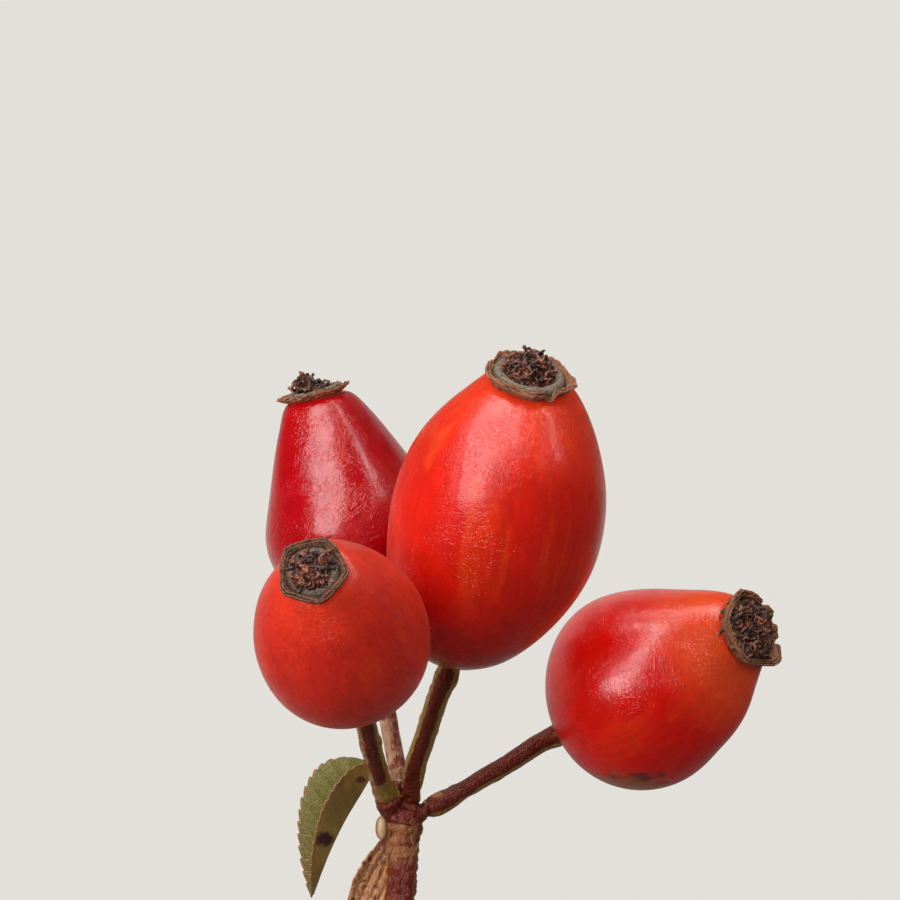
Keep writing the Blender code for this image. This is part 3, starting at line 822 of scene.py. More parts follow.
def rim_shell(radius, lip, thickness, spec, seed):
    """One torn fibrous layer of the rim, as a closed ring of own-millimetre points."""
    angle = round_angles(RIM_SECTORS)
    outline = 1 + spec["corners"] * (cornered(angle, spec["corner_turn"]) - 1)
    outline = outline + 0.030 * around_noise(RIM_SECTORS, 0.9, seed, 2)
    outline = outline + 0.014 * around_noise(RIM_SECTORS, 5.0, seed + 1)
    torn = around_noise(RIM_SECTORS, 2.2, seed + 2) * 0.55
    torn = torn + around_noise(RIM_SECTORS, 11.0, seed + 3, 2) * 0.40
    top = lip * (1 + 0.32 * torn)
    for turn, half, share in spec["notches"]:
        inside = 1 - smooth_step(0.4, 1.0, turn_gap(angle, turn, half))
        top = top * (1 - share * inside)
        outline = outline - 0.05 * share * inside
    turn, half, share = spec["spur"]
    outline = outline + share * np.exp(-turn_gap(angle, turn, half) ** 2)
    heights = np.concatenate([np.linspace(RIM_FOOT, 1, RIM_OUTER_ROWS),
                              np.linspace(1, RIM_FOOT, RIM_INNER_ROWS)])
    inner = np.concatenate([np.zeros(RIM_OUTER_ROWS), np.ones(RIM_INNER_ROWS)])
    rows = []
    for i, (h, side) in enumerate(zip(heights, inner)):
        spread = 1 - spec["flare"] * (1 - np.clip(h, 0, 1)) ** 1.5
        layer = 0.020 * around_noise(RIM_SECTORS, 1.5, seed + 0.9 * i, 3)
        step = 0.012 * math.sin(5.2 * i) * (1 - side)
        wall = thickness * (1.0 - 0.45 * max(h, 0)) * side
        reach = radius * (outline * spread + layer + step) - wall
        rows.append(ring_points(angle, reach, top * h))
    return np.array(rows)


def crown_disc(seed, felt, foot):
    """Lumpy disc inside the rim, closed below, as fractions of the crown's radius."""
    angle = round_angles(RIM_SECTORS)
    rows = [ring_points(angle, 0.6 * foot, -0.05), ring_points(angle, foot, -0.03)]
    for reach in np.linspace(DISC_EDGE, DISC_MIDDLE, DISC_ROWS):
        points = ring_points(angle, reach, 0.0)
        swell = 0.085 * np.exp(-((reach - felt) / 0.13) ** 2)
        rough = noise_at(points, 6.5, 4, seed) * 0.030 + noise_at(points, 2.2, 2, 3.0) * 0.02
        edge = np.exp(-((reach - DISC_EDGE) / 0.05) ** 2)
        points[:, 2] = DISC_HEIGHT + swell + rough * (1 - 0.5 * edge) - 0.06 * edge
        rows.append(points)
    return np.array(rows)


def crown_material(look, fibres):
    mat, t, shader = new_material("dry_crown")
    own = t.own_place()
    layered = t.group(fibres, {"Vector": t.stretch(own, 0.55, 0.55, 4.0), "Scale": 2.2})
    crumbs = t.noise(own, 5.0, 4.0, 0.65)
    mask = t.times(layered["Mask"], t.band(crumbs, 0.30, 0.62, 0.35, 1.0))
    pale = t.plus(mask, t.times(t.attribute("lip"), 0.25), clamp=True)
    colour = t.mix(pale, look.bark_dark, look.bark_pale)
    rust = t.band(t.noise(own, 1.1, 3.0), 0.52, 0.75)
    colour = t.mix(t.times(rust, 0.45), colour, look.bark_rust)
    height = t.plus(layered["Height"], t.times(crumbs, 0.8))
    # Base colour times tone: painted shade that darkens the rim of a crown in shadow.
    t.feed(shader, {"Base Color": t.scaled(colour, t.attribute("tone")), "Roughness": 0.78,
                    "Specular IOR Level": 0.35, "Normal": t.bump(height, 0.00009)})
    return mat


def felt_material(look):
    mat, t, shader = new_material("crown_felt")
    own = t.own_place()
    hairs = t.noise(own, 9.0, 4.0, 0.7, 0.6)
    clumps = t.noise(own, 2.6, 3.0, 0.6)
    mask = t.times(t.band(hairs, 0.34, 0.54, 0.25, 1.0), t.band(clumps, 0.26, 0.46))
    mask = t.times(mask, t.attribute("felt"))
    under = t.mix(t.attribute("wine"), look.felt_dark, look.wine)
    t.feed(shader, {"Base Color": t.mix(mask, under, look.felt_pale), "Roughness": 0.9,
                    "Specular IOR Level": 0.10, "Normal": t.bump(t.plus(hairs, clumps), 0.00008)})
    return mat


def make_crown(place, rim_mat, felt_mat):
    """Layered rim and felted disc of one dry crown."""
    spec = CROWN_LOOKS[place]
    matrix, radius = crown_place(place)
    shells = [rim_shell(reach * radius, lip * radius, thickness * radius, spec,
                        spec["seed"] + index * SHELL_SEED_STEP)
              for index, (reach, lip, thickness) in enumerate(spec["shells"])]
    verts, faces = join_parts([lathe(shell, closed_rows=True) for shell in shells])
    lip_rows = np.concatenate([np.linspace(0, 1, RIM_OUTER_ROWS) ** 4,
                               np.linspace(1, 0, RIM_INNER_ROWS) ** 3])
    # The rim carries its crown's tone, painted shade for a crown in shadow.
    rim = finish_piece(f"rim_{place}", to_frame(matrix, verts), faces, rim_mat,
                       own_place=np.array(verts),
                       lip=np.tile(np.repeat(lip_rows, RIM_SECTORS), len(shells)),
                       tone=np.full(len(verts), spec["tone"]))
    disc = crown_disc(radius, spec["felt"], 0.80 * (1 - spec["flare"])) * radius
    verts, faces = lathe(disc)
    own = np.array(verts)
    reach = np.linalg.norm(own[:, :2], axis=1) / radius
    felt = spec["felt_share"] * (1 - smooth_step(0.04, 0.16, np.abs(reach - spec["felt"])))
    turn = np.arctan2(own[:, 1], own[:, 0])
    wine = np.exp(-((reach - 0.45) / 0.16) ** 2) * np.clip(np.sin(turn + 0.3), 0, 1)
    floor = finish_piece(f"felt_{place}", to_frame(matrix, verts), faces, felt_mat,
                         own_place=own, felt=felt, wine=wine * spec["wine"])
    for piece in (rim, floor):
        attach(piece, "root")
        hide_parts(f"calyx_{place}")


# =============================================================================
# Style tufts
# =============================================================================

MOUND_ROWS = 26
MOUND_SECTORS = 96
MOUND_SHARE = 0.72          # mound under a tuft: its height as a share of the tuft's
MOUND_FOOT = 0.10           # and how high it starts, as a share of the crown's radius
THREAD_POINTS = 13
THREAD_SIDES = 5
THREAD_TURNS = 0.85         # how far round each style curls
THREAD_CURL = 0.00034       # radius of the curl at its foot, in metres
THREAD_TIP = 0.35           # radius at its tip, as a share of that
THREAD_LEAN = (1.3, 1.3, 3.14)  # most that a style leans and spins, in radians
THREAD_SIZES = (0.55, 1.25)
WAVER = 0.00028             # how far the styles waver, in metres, and how finely
WAVER_SCALE = 2600.0


def thread_tree():
    """Geometry Nodes: withered curled styles standing on a mound."""
    t, source, sink = new_group(
        "Style threads", "GeometryNodeTree",
        [("Geometry", GEOMETRY), ("Density", VALUE, 30.0), ("Thread Radius", VALUE, 0.00005),
         ("Thread Height", VALUE, 0.0004), ("Curl", VALUE, THREAD_CURL), ("Seed", WHOLE, 0),
         ("Material", MATERIAL)],
        [("Geometry", GEOMETRY)])
    spread = t.add("GeometryNodeDistributePointsOnFaces",
                   {"Mesh": source["Geometry"], "Density": source["Density"],
                    "Seed": source["Seed"]}).outputs
    spiral = t.add("GeometryNodeCurveSpiral",
                   {"Resolution": THREAD_POINTS, "Rotations": THREAD_TURNS,
                    "Start Radius": source["Curl"],
                    "End Radius": t.times(source["Curl"], THREAD_TIP),
                    "Height": source["Thread Height"]})
    section = t.add("GeometryNodeCurvePrimitiveCircle",
                    {"Resolution": THREAD_SIDES, "Radius": source["Thread Radius"]})
    thread = t.add("GeometryNodeCurveToMesh",
                   {"Curve": spiral.outputs["Curve"], "Profile Curve": section.outputs["Curve"],
                    "Fill Caps": True})
    spin = t.add("FunctionNodeRandomValue",
                 {0: tuple(-angle for angle in THREAD_LEAN), 1: THREAD_LEAN,
                  "Seed": source["Seed"]}, data_type="FLOAT_VECTOR")
    turn = t.add("FunctionNodeRotateRotation",
                 {"Rotation": spread["Rotation"], "Rotate By": spin.outputs[0]},
                 rotation_space="LOCAL")
    size = t.add("FunctionNodeRandomValue",
                 {2: THREAD_SIZES[0], 3: THREAD_SIZES[1], "Seed": source["Seed"]},
                 data_type="FLOAT")
    placed = t.add("GeometryNodeInstanceOnPoints",
                   {"Points": spread["Points"], "Instance": thread.outputs["Mesh"],
                    "Rotation": turn.outputs["Rotation"], "Scale": size.outputs[1]})
    real = t.add("GeometryNodeRealizeInstances", {"Geometry": placed.outputs["Instances"]})
    position = t.add("GeometryNodeInputPosition").outputs[0]
    waver = t.add("ShaderNodeTexNoise",
                  {"Vector": position, "Scale": WAVER_SCALE, "Detail": 1.0}).outputs["Color"]
    centred = t.vector_math("SUBTRACT", waver, (0.5, 0.5, 0.5))
    bent = t.add("GeometryNodeSetPosition", {"Geometry": real.outputs["Geometry"],
                                             "Offset": t.scaled(centred, WAVER)})
    joined = t.add("GeometryNodeJoinGeometry", {"Geometry": bent.outputs["Geometry"]})
    t.feed(joined, {"Geometry": source["Geometry"]})
    smooth = t.add("GeometryNodeSetShadeSmooth", {"Geometry": joined.outputs["Geometry"]})
    painted = t.add("GeometryNodeSetMaterial", {"Geometry": smooth.outputs["Geometry"],
                                                "Material": source["Material"]})
    t.feed(sink, {"Geometry": painted.outputs["Geometry"]})
    return t.tree


def tuft_material(look):
    mat, t, shader = new_material("style_tuft")
    where = t.add("ShaderNodeTexCoord").outputs["Object"]
    place = t.scaled(where, 1 / MM)
    tone = t.noise(place, 1.6, 3.0, 0.6)
    grain = t.noise(place, 9.0, 2.0)
    tips = t.times(t.band(tone, 0.42, 0.72), t.band(grain, 0.3, 0.7, 0.5, 1.0))
    t.feed(shader, {"Base Color": t.mix(tips, look.tuft_dark, look.tuft_pale),
                    "Roughness": 0.55, "Specular IOR Level": 0.45,
                    "Normal": t.bump(grain, 0.00002)})
    return mat


def mound(radius, height, foot, shift, seed):
    """Crumbly mound under the threads, in own millimetres."""
    angle = round_angles(MOUND_SECTORS)
    middle = np.array([0, 0, foot])
    rows = []
    for polar in np.linspace(0, 0.5 * np.pi, MOUND_ROWS)[:-1]:
        ring = ring_points(angle, radius * math.cos(polar) ** 0.7,
                           foot + height * math.sin(polar))
        rough = 0.16 * noise_at(ring, 2.4, 3, seed) + 0.10 * noise_at(ring, 5.5, 2, seed + 1)
        ring = middle + (ring - middle) * (1 + rough[:, None])
        rows.append(ring + np.array([*shift, 0]) * math.sin(polar))
    return np.array(rows)


def make_tuft(place, look, tree, mat):
    spec = CROWN_LOOKS[place]
    matrix, radius = crown_place(place)
    reach = spec["tuft"] * radius
    height = spec["tuft_height"] * radius * MOUND_SHARE
    shift = [2 * radius * share for share in spec["tuft_shift"]]
    verts, faces = lathe(mound(reach, height, MOUND_FOOT * radius, shift, spec["seed"]))
    obj = finish_piece(f"mound_{place}", to_frame(matrix, verts), faces, mat)
    area = math.pi * reach ** 2 * MM ** 2 * (1.0 + spec["tuft_height"])
    tuft = through_nodes(obj, tree, f"tuft_{place}", {
        "Density": spec["threads"] / area, "Thread Radius": look.thread_radius,
        "Thread Height": look.thread_length, "Seed": spec["seed"], "Material": mat})
    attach(tuft, "root")
    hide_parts(f"styles_{place}")


# =============================================================================
# Bark
# =============================================================================

# Route points in fork millimetres, then (place along the route, radius) pairs.
ROUTES = {
    "stem": ([(0.05, 0.0, -0.6), (-0.12, -4.0, -0.4), (-0.38, -8.5, -0.1), (-0.75, -13.0, 0.4)],
             [(0, 1.15), (0.07, 1.22), (0.16, 1.02), (0.4, 0.97), (1, 0.98)]),
    "stalk_centre": ([(0.50, 1.15, 0.1), (0.80, 3.1, 1.6), (1.44, 5.0, 3.3), (2.03, 6.9, 5.1),
                      (2.70, 8.7, 6.45)],
                     [(0, 0.55), (0.15, 0.68), (0.6, 0.66), (0.9, 0.70), (1, 0.78)]),
    "stalk_back": ([(-0.25, 1.65, -0.95), (-0.42, 3.0, -1.0), (-0.90, 5.5, -0.9),
                    (-1.40, 9.0, -0.4), (-1.62, 11.5, -0.1)],
                   [(0, 0.48), (0.15, 0.58), (0.8, 0.56), (1, 0.66)]),
    "stalk_front": ([(-0.95, 0.75, 0.35), (-1.25, 1.6, 1.5), (-1.70, 3.2, 4.1),
                     (-2.10, 5.0, 7.0), (-2.60, 7.1, 9.6), (-2.90, 8.3, 10.7)],
                    [(0, 0.84), (0.05, 0.80), (0.10, 0.70), (0.3, 0.66), (0.9, 0.65), (1, 0.75)]),
    "stalk_right": ([(1.42, 0.12, -0.85), (2.98, 0.88, -1.6), (4.85, 1.95, -2.7),
                     (6.75, 3.04, -3.8), (8.5, 4.15, -4.6), (9.85, 4.80, -4.75)],
                    [(0, 0.60), (0.1, 0.74), (0.3, 0.58), (0.8, 0.62), (1, 0.74)]),
}
BARK_NODES = tuple(ROUTES)
ROUTES["swelling"] = ([(-0.50, -1.1, -0.6), (0.05, -0.35, -0.55), (0.80, 0.25, -0.65)],
                      [(0, 0.95), (0.5, 1.28), (1, 0.85)])
STEM, _, BACK, FRONT, RIGHT, SWELLING = range(len(ROUTES))
ROUTE_POINTS = 60
ROUTE_STEPS = 110           # steps of a route that bark is measured from
ROUTE_GAP = 9.0             # keeps the routes' patterns apart, in millimetres
STALK_REACH = 1.5           # how far each stalk runs on into its hip, in millimetres
FORK_REACH = 1.5            # and how far back into the fork
SLEEVE_RINGS = 90
SLEEVE_SIDES = 32
RELAX_STEPS = 6
RELAX_FACTOR = 0.5
# Dark pits round the fork: place in fork millimetres, and radius.
PITS = [((0.70, -1.55, 1.05), 0.20), ((0.85, -2.0, 1.05), 0.15), ((1.15, 0.50, 0.0), 0.20),
        ((0.75, -0.25, 1.0), 0.10), ((0.2, 0.35, 1.1), 0.15)]
PIT_DEPTH = 0.00012
STAIN_MARK = (0.85, (1.95, 1.15, -0.75), (0.60, 0.30, 0.9), 8.0, 0.3)


def sleeve_tree():
    """Geometry Nodes: a round sleeve along a route, with the route's own radii."""
    t, source, sink = new_group(
        "Bark sleeve", "GeometryNodeTree",
        [("Geometry", GEOMETRY), ("Rings", WHOLE, SLEEVE_RINGS), ("Sides", WHOLE, SLEEVE_SIDES),
         ("Material", MATERIAL)],
        [("Geometry", GEOMETRY)])
    even = t.add("GeometryNodeResampleCurve", {"Curve": source["Geometry"],
                                               "Count": source["Rings"]})
    section = t.add("GeometryNodeCurvePrimitiveCircle", {"Resolution": source["Sides"],
                                                         "Radius": 1.0})
    radius = t.add("GeometryNodeInputRadius").outputs[0]
    sleeve = t.add("GeometryNodeCurveToMesh",
                   {"Curve": even.outputs["Curve"], "Profile Curve": section.outputs["Curve"],
                    "Scale": radius, "Fill Caps": True})
    real = t.add("GeometryNodeRealizeInstances", {"Geometry": sleeve.outputs["Mesh"]})
    painted = t.add("GeometryNodeSetMaterial", {"Geometry": real.outputs["Geometry"],
                                                "Material": source["Material"]})
    t.feed(sink, {"Geometry": painted.outputs["Geometry"]})
    return t.tree


def eased(pairs, s):
    """Value at s from (place, value) pairs, eased between them."""
    value = pairs[-1][1]
    for (s0, v0), (s1, v1) in reversed(list(zip(pairs, pairs[1:]))):
        if s <= s1:
            value = v0 + (v1 - v0) * float(smooth_step(s0, s1, s))
    return value


def bark_route(node):
    """Centre line and radii of a stalk or the stem, in metres, out from the fork."""
    points, pairs = ROUTES[node]
    line = spline(points, ROUTE_POINTS)
    radii = [eased(pairs, i / (ROUTE_POINTS - 1)) for i in range(ROUTE_POINTS)]
    centres = [grown(*p) for p in line]
    if node.startswith("stalk"):
        back = (centres[0] - centres[1]).normalized()
        ahead = (centres[-1] - centres[-2]).normalized()
        centres = [centres[0] + back * FORK_REACH * MM] + centres
        centres.append(centres[-1] + ahead * STALK_REACH * MM)
        radii = [radii[0] * 0.9] + radii + [radii[-1] * 0.6]
    return centres, [radius * MM for radius in radii]


def make_sleeve(node, tree, mat):
    centres, radii = bark_route(node)
    curve = bpy.data.curves.new(f"route_{node}", "CURVE")
    curve.dimensions = "3D"
    line = curve.splines.new("POLY")
    line.points.add(len(centres) - 1)
    for point, centre, radius in zip(line.points, centres, radii):
        point.co = (*centre, 1.0)
        point.radius = radius
    obj = add_object(f"route_{node}", curve)
    return through_nodes(obj, tree, f"sleeve_{node}", {"Material": mat})


def bark_material(look, fibres, pores):
    mat, t, shader = new_material("sprig_bark")
    own = t.own_place()
    # Flushed and shaded sides, young bark and dry patches.
    # Maroon where the bark faces the viewer and olive towards its edges: partly the twig's own sun
    # flush, partly painted edge light. Young bark and dry patches.
    drift = t.times(t.minus(t.noise(own, 0.9, 3.0, 0.6), 0.5), 0.8)
    flush = t.plus(t.attribute("flush"), drift)
    colour = t.mix(t.band(flush, 0.30, 0.58), look.olive, look.maroon)
    patches = t.band(t.noise(own, 1.5, 3.0), 0.46, 0.58)
    colour = t.mix(t.attribute("young"), colour, t.mix(patches, look.cream, look.rose))
    tan = t.times(t.attribute("tan"), t.band(t.noise(own, 1.3, 3.0, 0.6), 0.34, 0.60))
    colour = t.mix(tan, colour, look.tan)
    # Ridges, corky dashes, a stain, and pits.
    grain = t.group(fibres, {"Vector": t.stretch(own, 1.0, 1.0, 0.35), "Scale": 2.4})
    ridges = t.times(grain["Mask"], t.band(t.attribute("woody"), 0.0, 1.0, 0.28, 0.55))
    colour = t.mix(ridges, colour, look.rust)
    dashes = t.group(pores, {"Vector": t.stretch(own, 1.6, 1.6, 0.7), "Scale": 1.5,
                             "Share": 0.30, "Size": 0.22})["Mask"]
    colour = t.mix(t.times(dashes, 0.65), colour, look.dashes)
    colour = t.mix(t.attribute("stain"), colour, look.stain)
    colour = t.mix(t.band(t.attribute("pit"), 0.2, 0.8), colour, look.pits)
    rough = t.band(t.noise(own, 2.0, 2.0), 0.35, 0.7, 0.14, 0.34)
    crinkle = t.noise(t.stretch(own, 1.0, 1.0, 0.55), 3.2, 2.0, 0.55, 1.2)
    fine = t.noise(own, 7.0, 3.0, 0.6, 0.4)
    height = t.plus(t.times(grain["Height"], 0.6),
                    t.plus(t.times(fine, 0.35), t.times(crinkle, 0.9)))
    height = t.plus(height, t.times(dashes, 0.4))
    t.feed(shader, {"Base Color": colour, "Roughness": rough, "Specular IOR Level": 0.30,
                    "Normal": t.bump(height, 0.00016)})
    return mat


def nearest_route(points):
    """For each point: its route's index, place along it, side vector and way ahead."""
    best = np.full(len(points), np.inf)
    which = np.zeros(len(points), dtype=int)
    along = np.zeros(len(points))
    side = np.zeros((len(points), 3))
    ahead = np.zeros((len(points), 3))
    for index, node in enumerate(ROUTES):
        centres, radii = bark_route(node)
        line = spline([tuple(c) for c in centres], ROUTE_STEPS)
        wide = spline(radii, ROUTE_STEPS)
        step = np.linalg.norm(np.diff(line, axis=0), axis=1)
        tangent = unit_rows(np.gradient(line, axis=0))
        length = np.concatenate([[0], np.cumsum(step)]) / MM
        tree = KDTree(len(line))
        for i, p in enumerate(line):
            tree.insert(Vector(p), i)
        tree.balance()
        for k, p in enumerate(points):
            _, i, distance = tree.find(Vector(p))
            gap = distance - wide[i]
            if gap < best[k]:
                best[k] = gap
                which[k] = index
                along[k] = length[i]
                side[k] = p - line[i]
                ahead[k] = tangent[i]
    return which, along, side, ahead


def bark_blank(look, mat):
    """Points, normals and faces of the sleeves grown into one skin, still smooth."""
    tree = sleeve_tree()
    bm = bmesh.new()
    for node in ROUTES:
        sleeve = make_sleeve(node, tree, mat)
        bm.from_mesh(sleeve.data)
        bpy.data.objects.remove(sleeve, do_unlink=True)
    mesh = bpy.data.meshes.new("bark_blank")
    bm.to_mesh(mesh)
    bm.free()
    blank = add_object("bark_blank", mesh)
    skin = blank.modifiers.new("one skin", "REMESH")
    skin.mode = "VOXEL"
    skin.voxel_size = look.grid
    blank = plain_mesh(blank, "bark_blank")
    relax = blank.modifiers.new("relax", "SMOOTH")
    relax.factor = RELAX_FACTOR
    relax.iterations = RELAX_STEPS
    blank = plain_mesh(blank, "bark_blank")
    points = np.empty(len(blank.data.vertices) * 3)
    blank.data.vertices.foreach_get("co", points)
    normals = np.array([n.vector[:] for n in blank.data.vertex_normals])
    faces = [tuple(p.vertices) for p in blank.data.polygons]
    bpy.data.objects.remove(blank, do_unlink=True)
    return points.reshape(-1, 3), normals, faces


def make_bark(look, fibres, pores):
    """Stem and stalks grown together at the fork, in one skin of bark."""
    mat = bark_material(look, fibres, pores)
    points, normals, faces = bark_blank(look, mat)
    which, along, side, ahead = nearest_route(points)
    seen = np.array(SEEN_FROM)
    fork = np.array(FORK)
    side_mm = side / MM
    own = np.stack([side_mm @ np.array(VIEW_RIGHT) + which * ROUTE_GAP, side_mm @ seen, along],
                   axis=1)
    # Woody stem and fork, the front stalk's collar, the right stalk's joint, young back stalk.
    woody = ((which == STEM) | (which == SWELLING)).astype(float)
    at_fork = 1 - smooth_step(1.2, 3.0, np.linalg.norm(points - fork, axis=1) / MM)
    collar = ((which == FRONT) * smooth_step(0.6, 0.9, along)
              * (1 - smooth_step(2.0, 2.3, along)))
    joint = (which == RIGHT) * np.exp(-((along - 1.45) / 0.20) ** 2)
    woody = np.maximum(woody, np.maximum(at_fork * (which != FRONT), collar))
    young = ((which == BACK) & (along > 1.8)).astype(float)
    # Ridges along the bark, folds across it, knobs, and rings round the collar.
    coarse = noise_at(own * np.array([1.0, 1.0, 0.28]), 1.9, 3, 1.0)
    folds = noise_at(own * np.array([0.7, 0.7, 1.9]), 1.3, 3, 2.0)
    knobs = np.maximum(0.0, noise_at(own, 0.8, 2, 6.0) - 0.26)
    rings = collar * np.sin(along * 11.0 + 1.5 * noise_at(own, 0.8, 2, 9.0))
    lift = coarse * 0.60 + folds * np.clip(0.25 + 0.75 * woody, 0, 1) + knobs * 2.6
    lift = lift * (0.55 + 0.45 * woody) * (1 - 0.5 * young) + 0.65 * rings - 1.3 * joint
    points = points + normals * (lift * look.wrinkle)[:, None]
    # How far each point looks to the right of its route (tilt), and to the seen side (facing).
    across = unit_rows(np.cross(ahead, seen))
    outward = unit_rows(side)
    tilt = (outward * across).sum(axis=1)
    facing = (outward * np.cross(across, ahead)).sum(axis=1)
    # Maroon facing the viewer, olive towards the edges: partly sun flush, partly painted edge
    # light; the right stalk is olive on its right edge.
    flush = np.clip(0.44 + 2.0 * (facing - 0.76) - 0.16 * tilt + 0.9 * woody, 0, 1)
    right_flush = np.clip(0.95 - 0.9 * smooth_step(0.35, 0.9, tilt), 0, 1)
    flush = np.where(which == RIGHT, right_flush, flush)
    leafy = ((which == FRONT) * smooth_step(2.1, 2.3, along)
             * (1 - smooth_step(3.6, 5.4, along)))
    flush = flush * (1 - 0.85 * leafy)
    young = np.maximum(young, 0.8 * (which == FRONT) * smooth_step(2.3, 3.0, along)
                       * smooth_step(-0.45, -0.85, tilt))
    # Dry patches below the fork and down the stem's left side.
    down = -(points - fork) @ np.array(VIEW_UP) / MM
    tan = (which != FRONT) * smooth_step(0.5, 1.0, down) * (1 - smooth_step(2.4, 3.6, down))
    tan = np.maximum(tan, (which == STEM) * 0.8 * smooth_step(0.72, 0.92, -tilt))
    pit = 0.7 * joint
    for where, radius in PITS:
        pit = np.maximum(pit, mark(points, 1.0, where, (radius, radius * 1.3, 0.9), 3.0, 0.25))
    stain = mark(points, *STAIN_MARK)
    points = points - normals * (np.clip(pit, 0, 1) * PIT_DEPTH)[:, None]
    obj = finish_piece("bark", points, faces, mat, own_place=own, flush=flush, young=young,
                       woody=woody, tan=tan, pit=pit, stain=stain)
    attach(obj, "root")
    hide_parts(*BARK_NODES)


# =============================================================================
# Leaflet
# =============================================================================

MIDRIB = [(-1.80, 2.70, -0.3), (-2.65, 1.25, -0.25), (-3.75, -0.6, -0.25), (-4.75, -2.7, -0.3),
          (-5.65, -5.05, -0.4)]
LEAF_TEETH = 15
LEAF_ROWS = 240
LEAF_COLUMNS = 22
LEAF_THICKNESS = 0.00013
LEAF_VEINS = 9.0            # side veins on each half, and how far they run on towards the tip
VEIN_SLANT = 1.6
# Back and front half: rise out of the flat, and how much more the edge curls, in radians.
LEAF_HALVES = [(math.radians(7), -0.12), (math.radians(54), 0.10)]
# Dark spots: strength, place in fork millimetres, radii, seed and raggedness.
LEAF_SPOTS = [(1.0, (-4.75, -1.72, 1.1), (0.92, 0.62, 2.0), 5.0, 0.25),
              (0.8, (-2.7, 2.1, 0.5), (0.42, 0.26, 1.5), 6.0, 0.4)]


def leaf_grid(look):
    """Leaflet's mid surface in fork millimetres, with place across and along it."""
    s = np.linspace(0, 1, LEAF_ROWS)
    rib = spline(MIDRIB, LEAF_ROWS)
    tangent = unit_rows(np.gradient(rib, axis=0))
    left = unit_rows(np.cross(np.array([0, 0, 1.0]), tangent))
    left *= -np.sign(left[:, :1])
    lift = np.cross(left, tangent)
    lift *= np.sign(lift[:, 2:3])
    outline = np.sin(np.pi * np.clip(s, 1e-4, 1) ** 0.62).clip(0) ** 0.80
    saw = (s * LEAF_TEETH) % 1.0
    tooth = look.tooth / MM * (saw ** 1.4) * smooth_step(0, 0.12, s) * smooth_step(1, 0.94, s)
    width = np.maximum(0.05, look.half_width / MM * outline) - tooth
    halves = []
    for rise, edge_curl in LEAF_HALVES:
        part = []
        for c in np.linspace(1, 0, LEAF_COLUMNS, endpoint=False):
            curl = rise + edge_curl * c ** 2
            out = left * math.cos(curl) + lift * math.sin(curl)
            forward = tangent * (0.35 - 0.6 * (1 - s[:, None]) ** 3) * c ** 2
            ripple = (0.035 * np.cos(2 * np.pi * (s * LEAF_VEINS + c * VEIN_SLANT))
                      * np.sin(np.pi * c))
            normal = lift * math.cos(curl) - left * math.sin(curl)
            part.append(rib + out * width[:, None] * c + forward + normal * ripple[:, None])
        halves.append(part)
    grid = halves[0] + [rib] + halves[1][::-1]
    edge_to_rib = np.linspace(1, 0, LEAF_COLUMNS, endpoint=False)
    across = np.concatenate([-edge_to_rib, [0.0], edge_to_rib[::-1]])
    return np.array(grid).swapaxes(0, 1), across, s


def sheet_piece(name, grid, thickness, mat, **attributes):
    """Closed thin piece from a grid of fork-millimetre points, walled by Solidify."""
    rows, columns = grid.shape[:2]
    points = [grown(*p) for p in grid.reshape(-1, 3)]
    faces = [(i * columns + j, i * columns + j + 1, (i + 1) * columns + j + 1,
              (i + 1) * columns + j) for i in range(rows - 1) for j in range(columns - 1)]
    obj = finish_piece(name + "_sheet", points, faces, mat, **attributes)
    wall = obj.modifiers.new("wall", "SOLIDIFY")
    wall.thickness = thickness
    wall.offset = 0.0
    result = plain_mesh(obj, name)
    result.data.shade_smooth()
    return result


def leaf_material(look):
    mat, t, shader = new_material("leaf_blade")
    across = t.attribute("across")
    along = t.attribute("along")
    own = t.own_place()
    out = t.math("ABSOLUTE", across)
    # Side veins, the midrib and a net between them.
    phase = t.plus(t.times(along, LEAF_VEINS), t.times(out, VEIN_SLANT))
    wobble = t.times(t.noise(own, 0.7, 2.0), 0.35)
    wave = t.math("FRACT", t.plus(phase, wobble))
    vein = t.band(t.off_middle(wave), 0.46, 0.5)
    rib = t.band(out, 0.05, 0.015)
    net = t.band(t.voronoi(own, 3.4, "DISTANCE_TO_EDGE")["Distance"], 0.08, 0.0)
    veins = t.math("MAXIMUM", t.math("MAXIMUM", vein, rib), t.times(net, 0.4))
    # The two halves, blotches, the russet tip, spots and the dry edge.
    base = t.mix(t.band(across, -0.02, 0.02), look.green, look.olive)
    blotch = t.band(t.noise(own, 0.6, 3.0), 0.35, 0.65)
    base = t.mix(t.times(blotch, 0.5), base, look.blotch)
    base = t.mix(t.times(t.band(along, 0.35, 0.95), 0.55), base, look.russet)
    base = t.mix(t.times(veins, 0.42), base, look.vein)
    base = t.mix(t.attribute("spot"), base, look.spot)
    edge = t.band(t.plus(out, t.times(t.noise(own, 2.5, 2.0), 0.06)), 0.96, 1.03)
    height = t.minus(t.noise(own, 5.0, 3.0), t.times(veins, 0.9))
    t.feed(shader, {"Base Color": t.mix(edge, base, look.edge), "Roughness": 0.55,
                    "Specular IOR Level": 0.35, "Normal": t.bump(height, 0.00004)})
    return mat


def make_leaf(look):
    grid, across, s = leaf_grid(look)
    rows, columns = grid.shape[:2]
    flat = grid.reshape(-1, 3)
    across = np.tile(across, rows)
    points = np.array([grown(*p) for p in flat])
    spot = np.maximum(*(mark(points, *spec) for spec in LEAF_SPOTS)) * (across > 0.02)
    obj = sheet_piece("leaflet", grid, LEAF_THICKNESS, leaf_material(look), across=across,
                      along=np.repeat(s, columns), own_place=flat, spot=spot)
    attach(obj, "root")
    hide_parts("leaf")


# =============================================================================
# Bract and bud
# =============================================================================

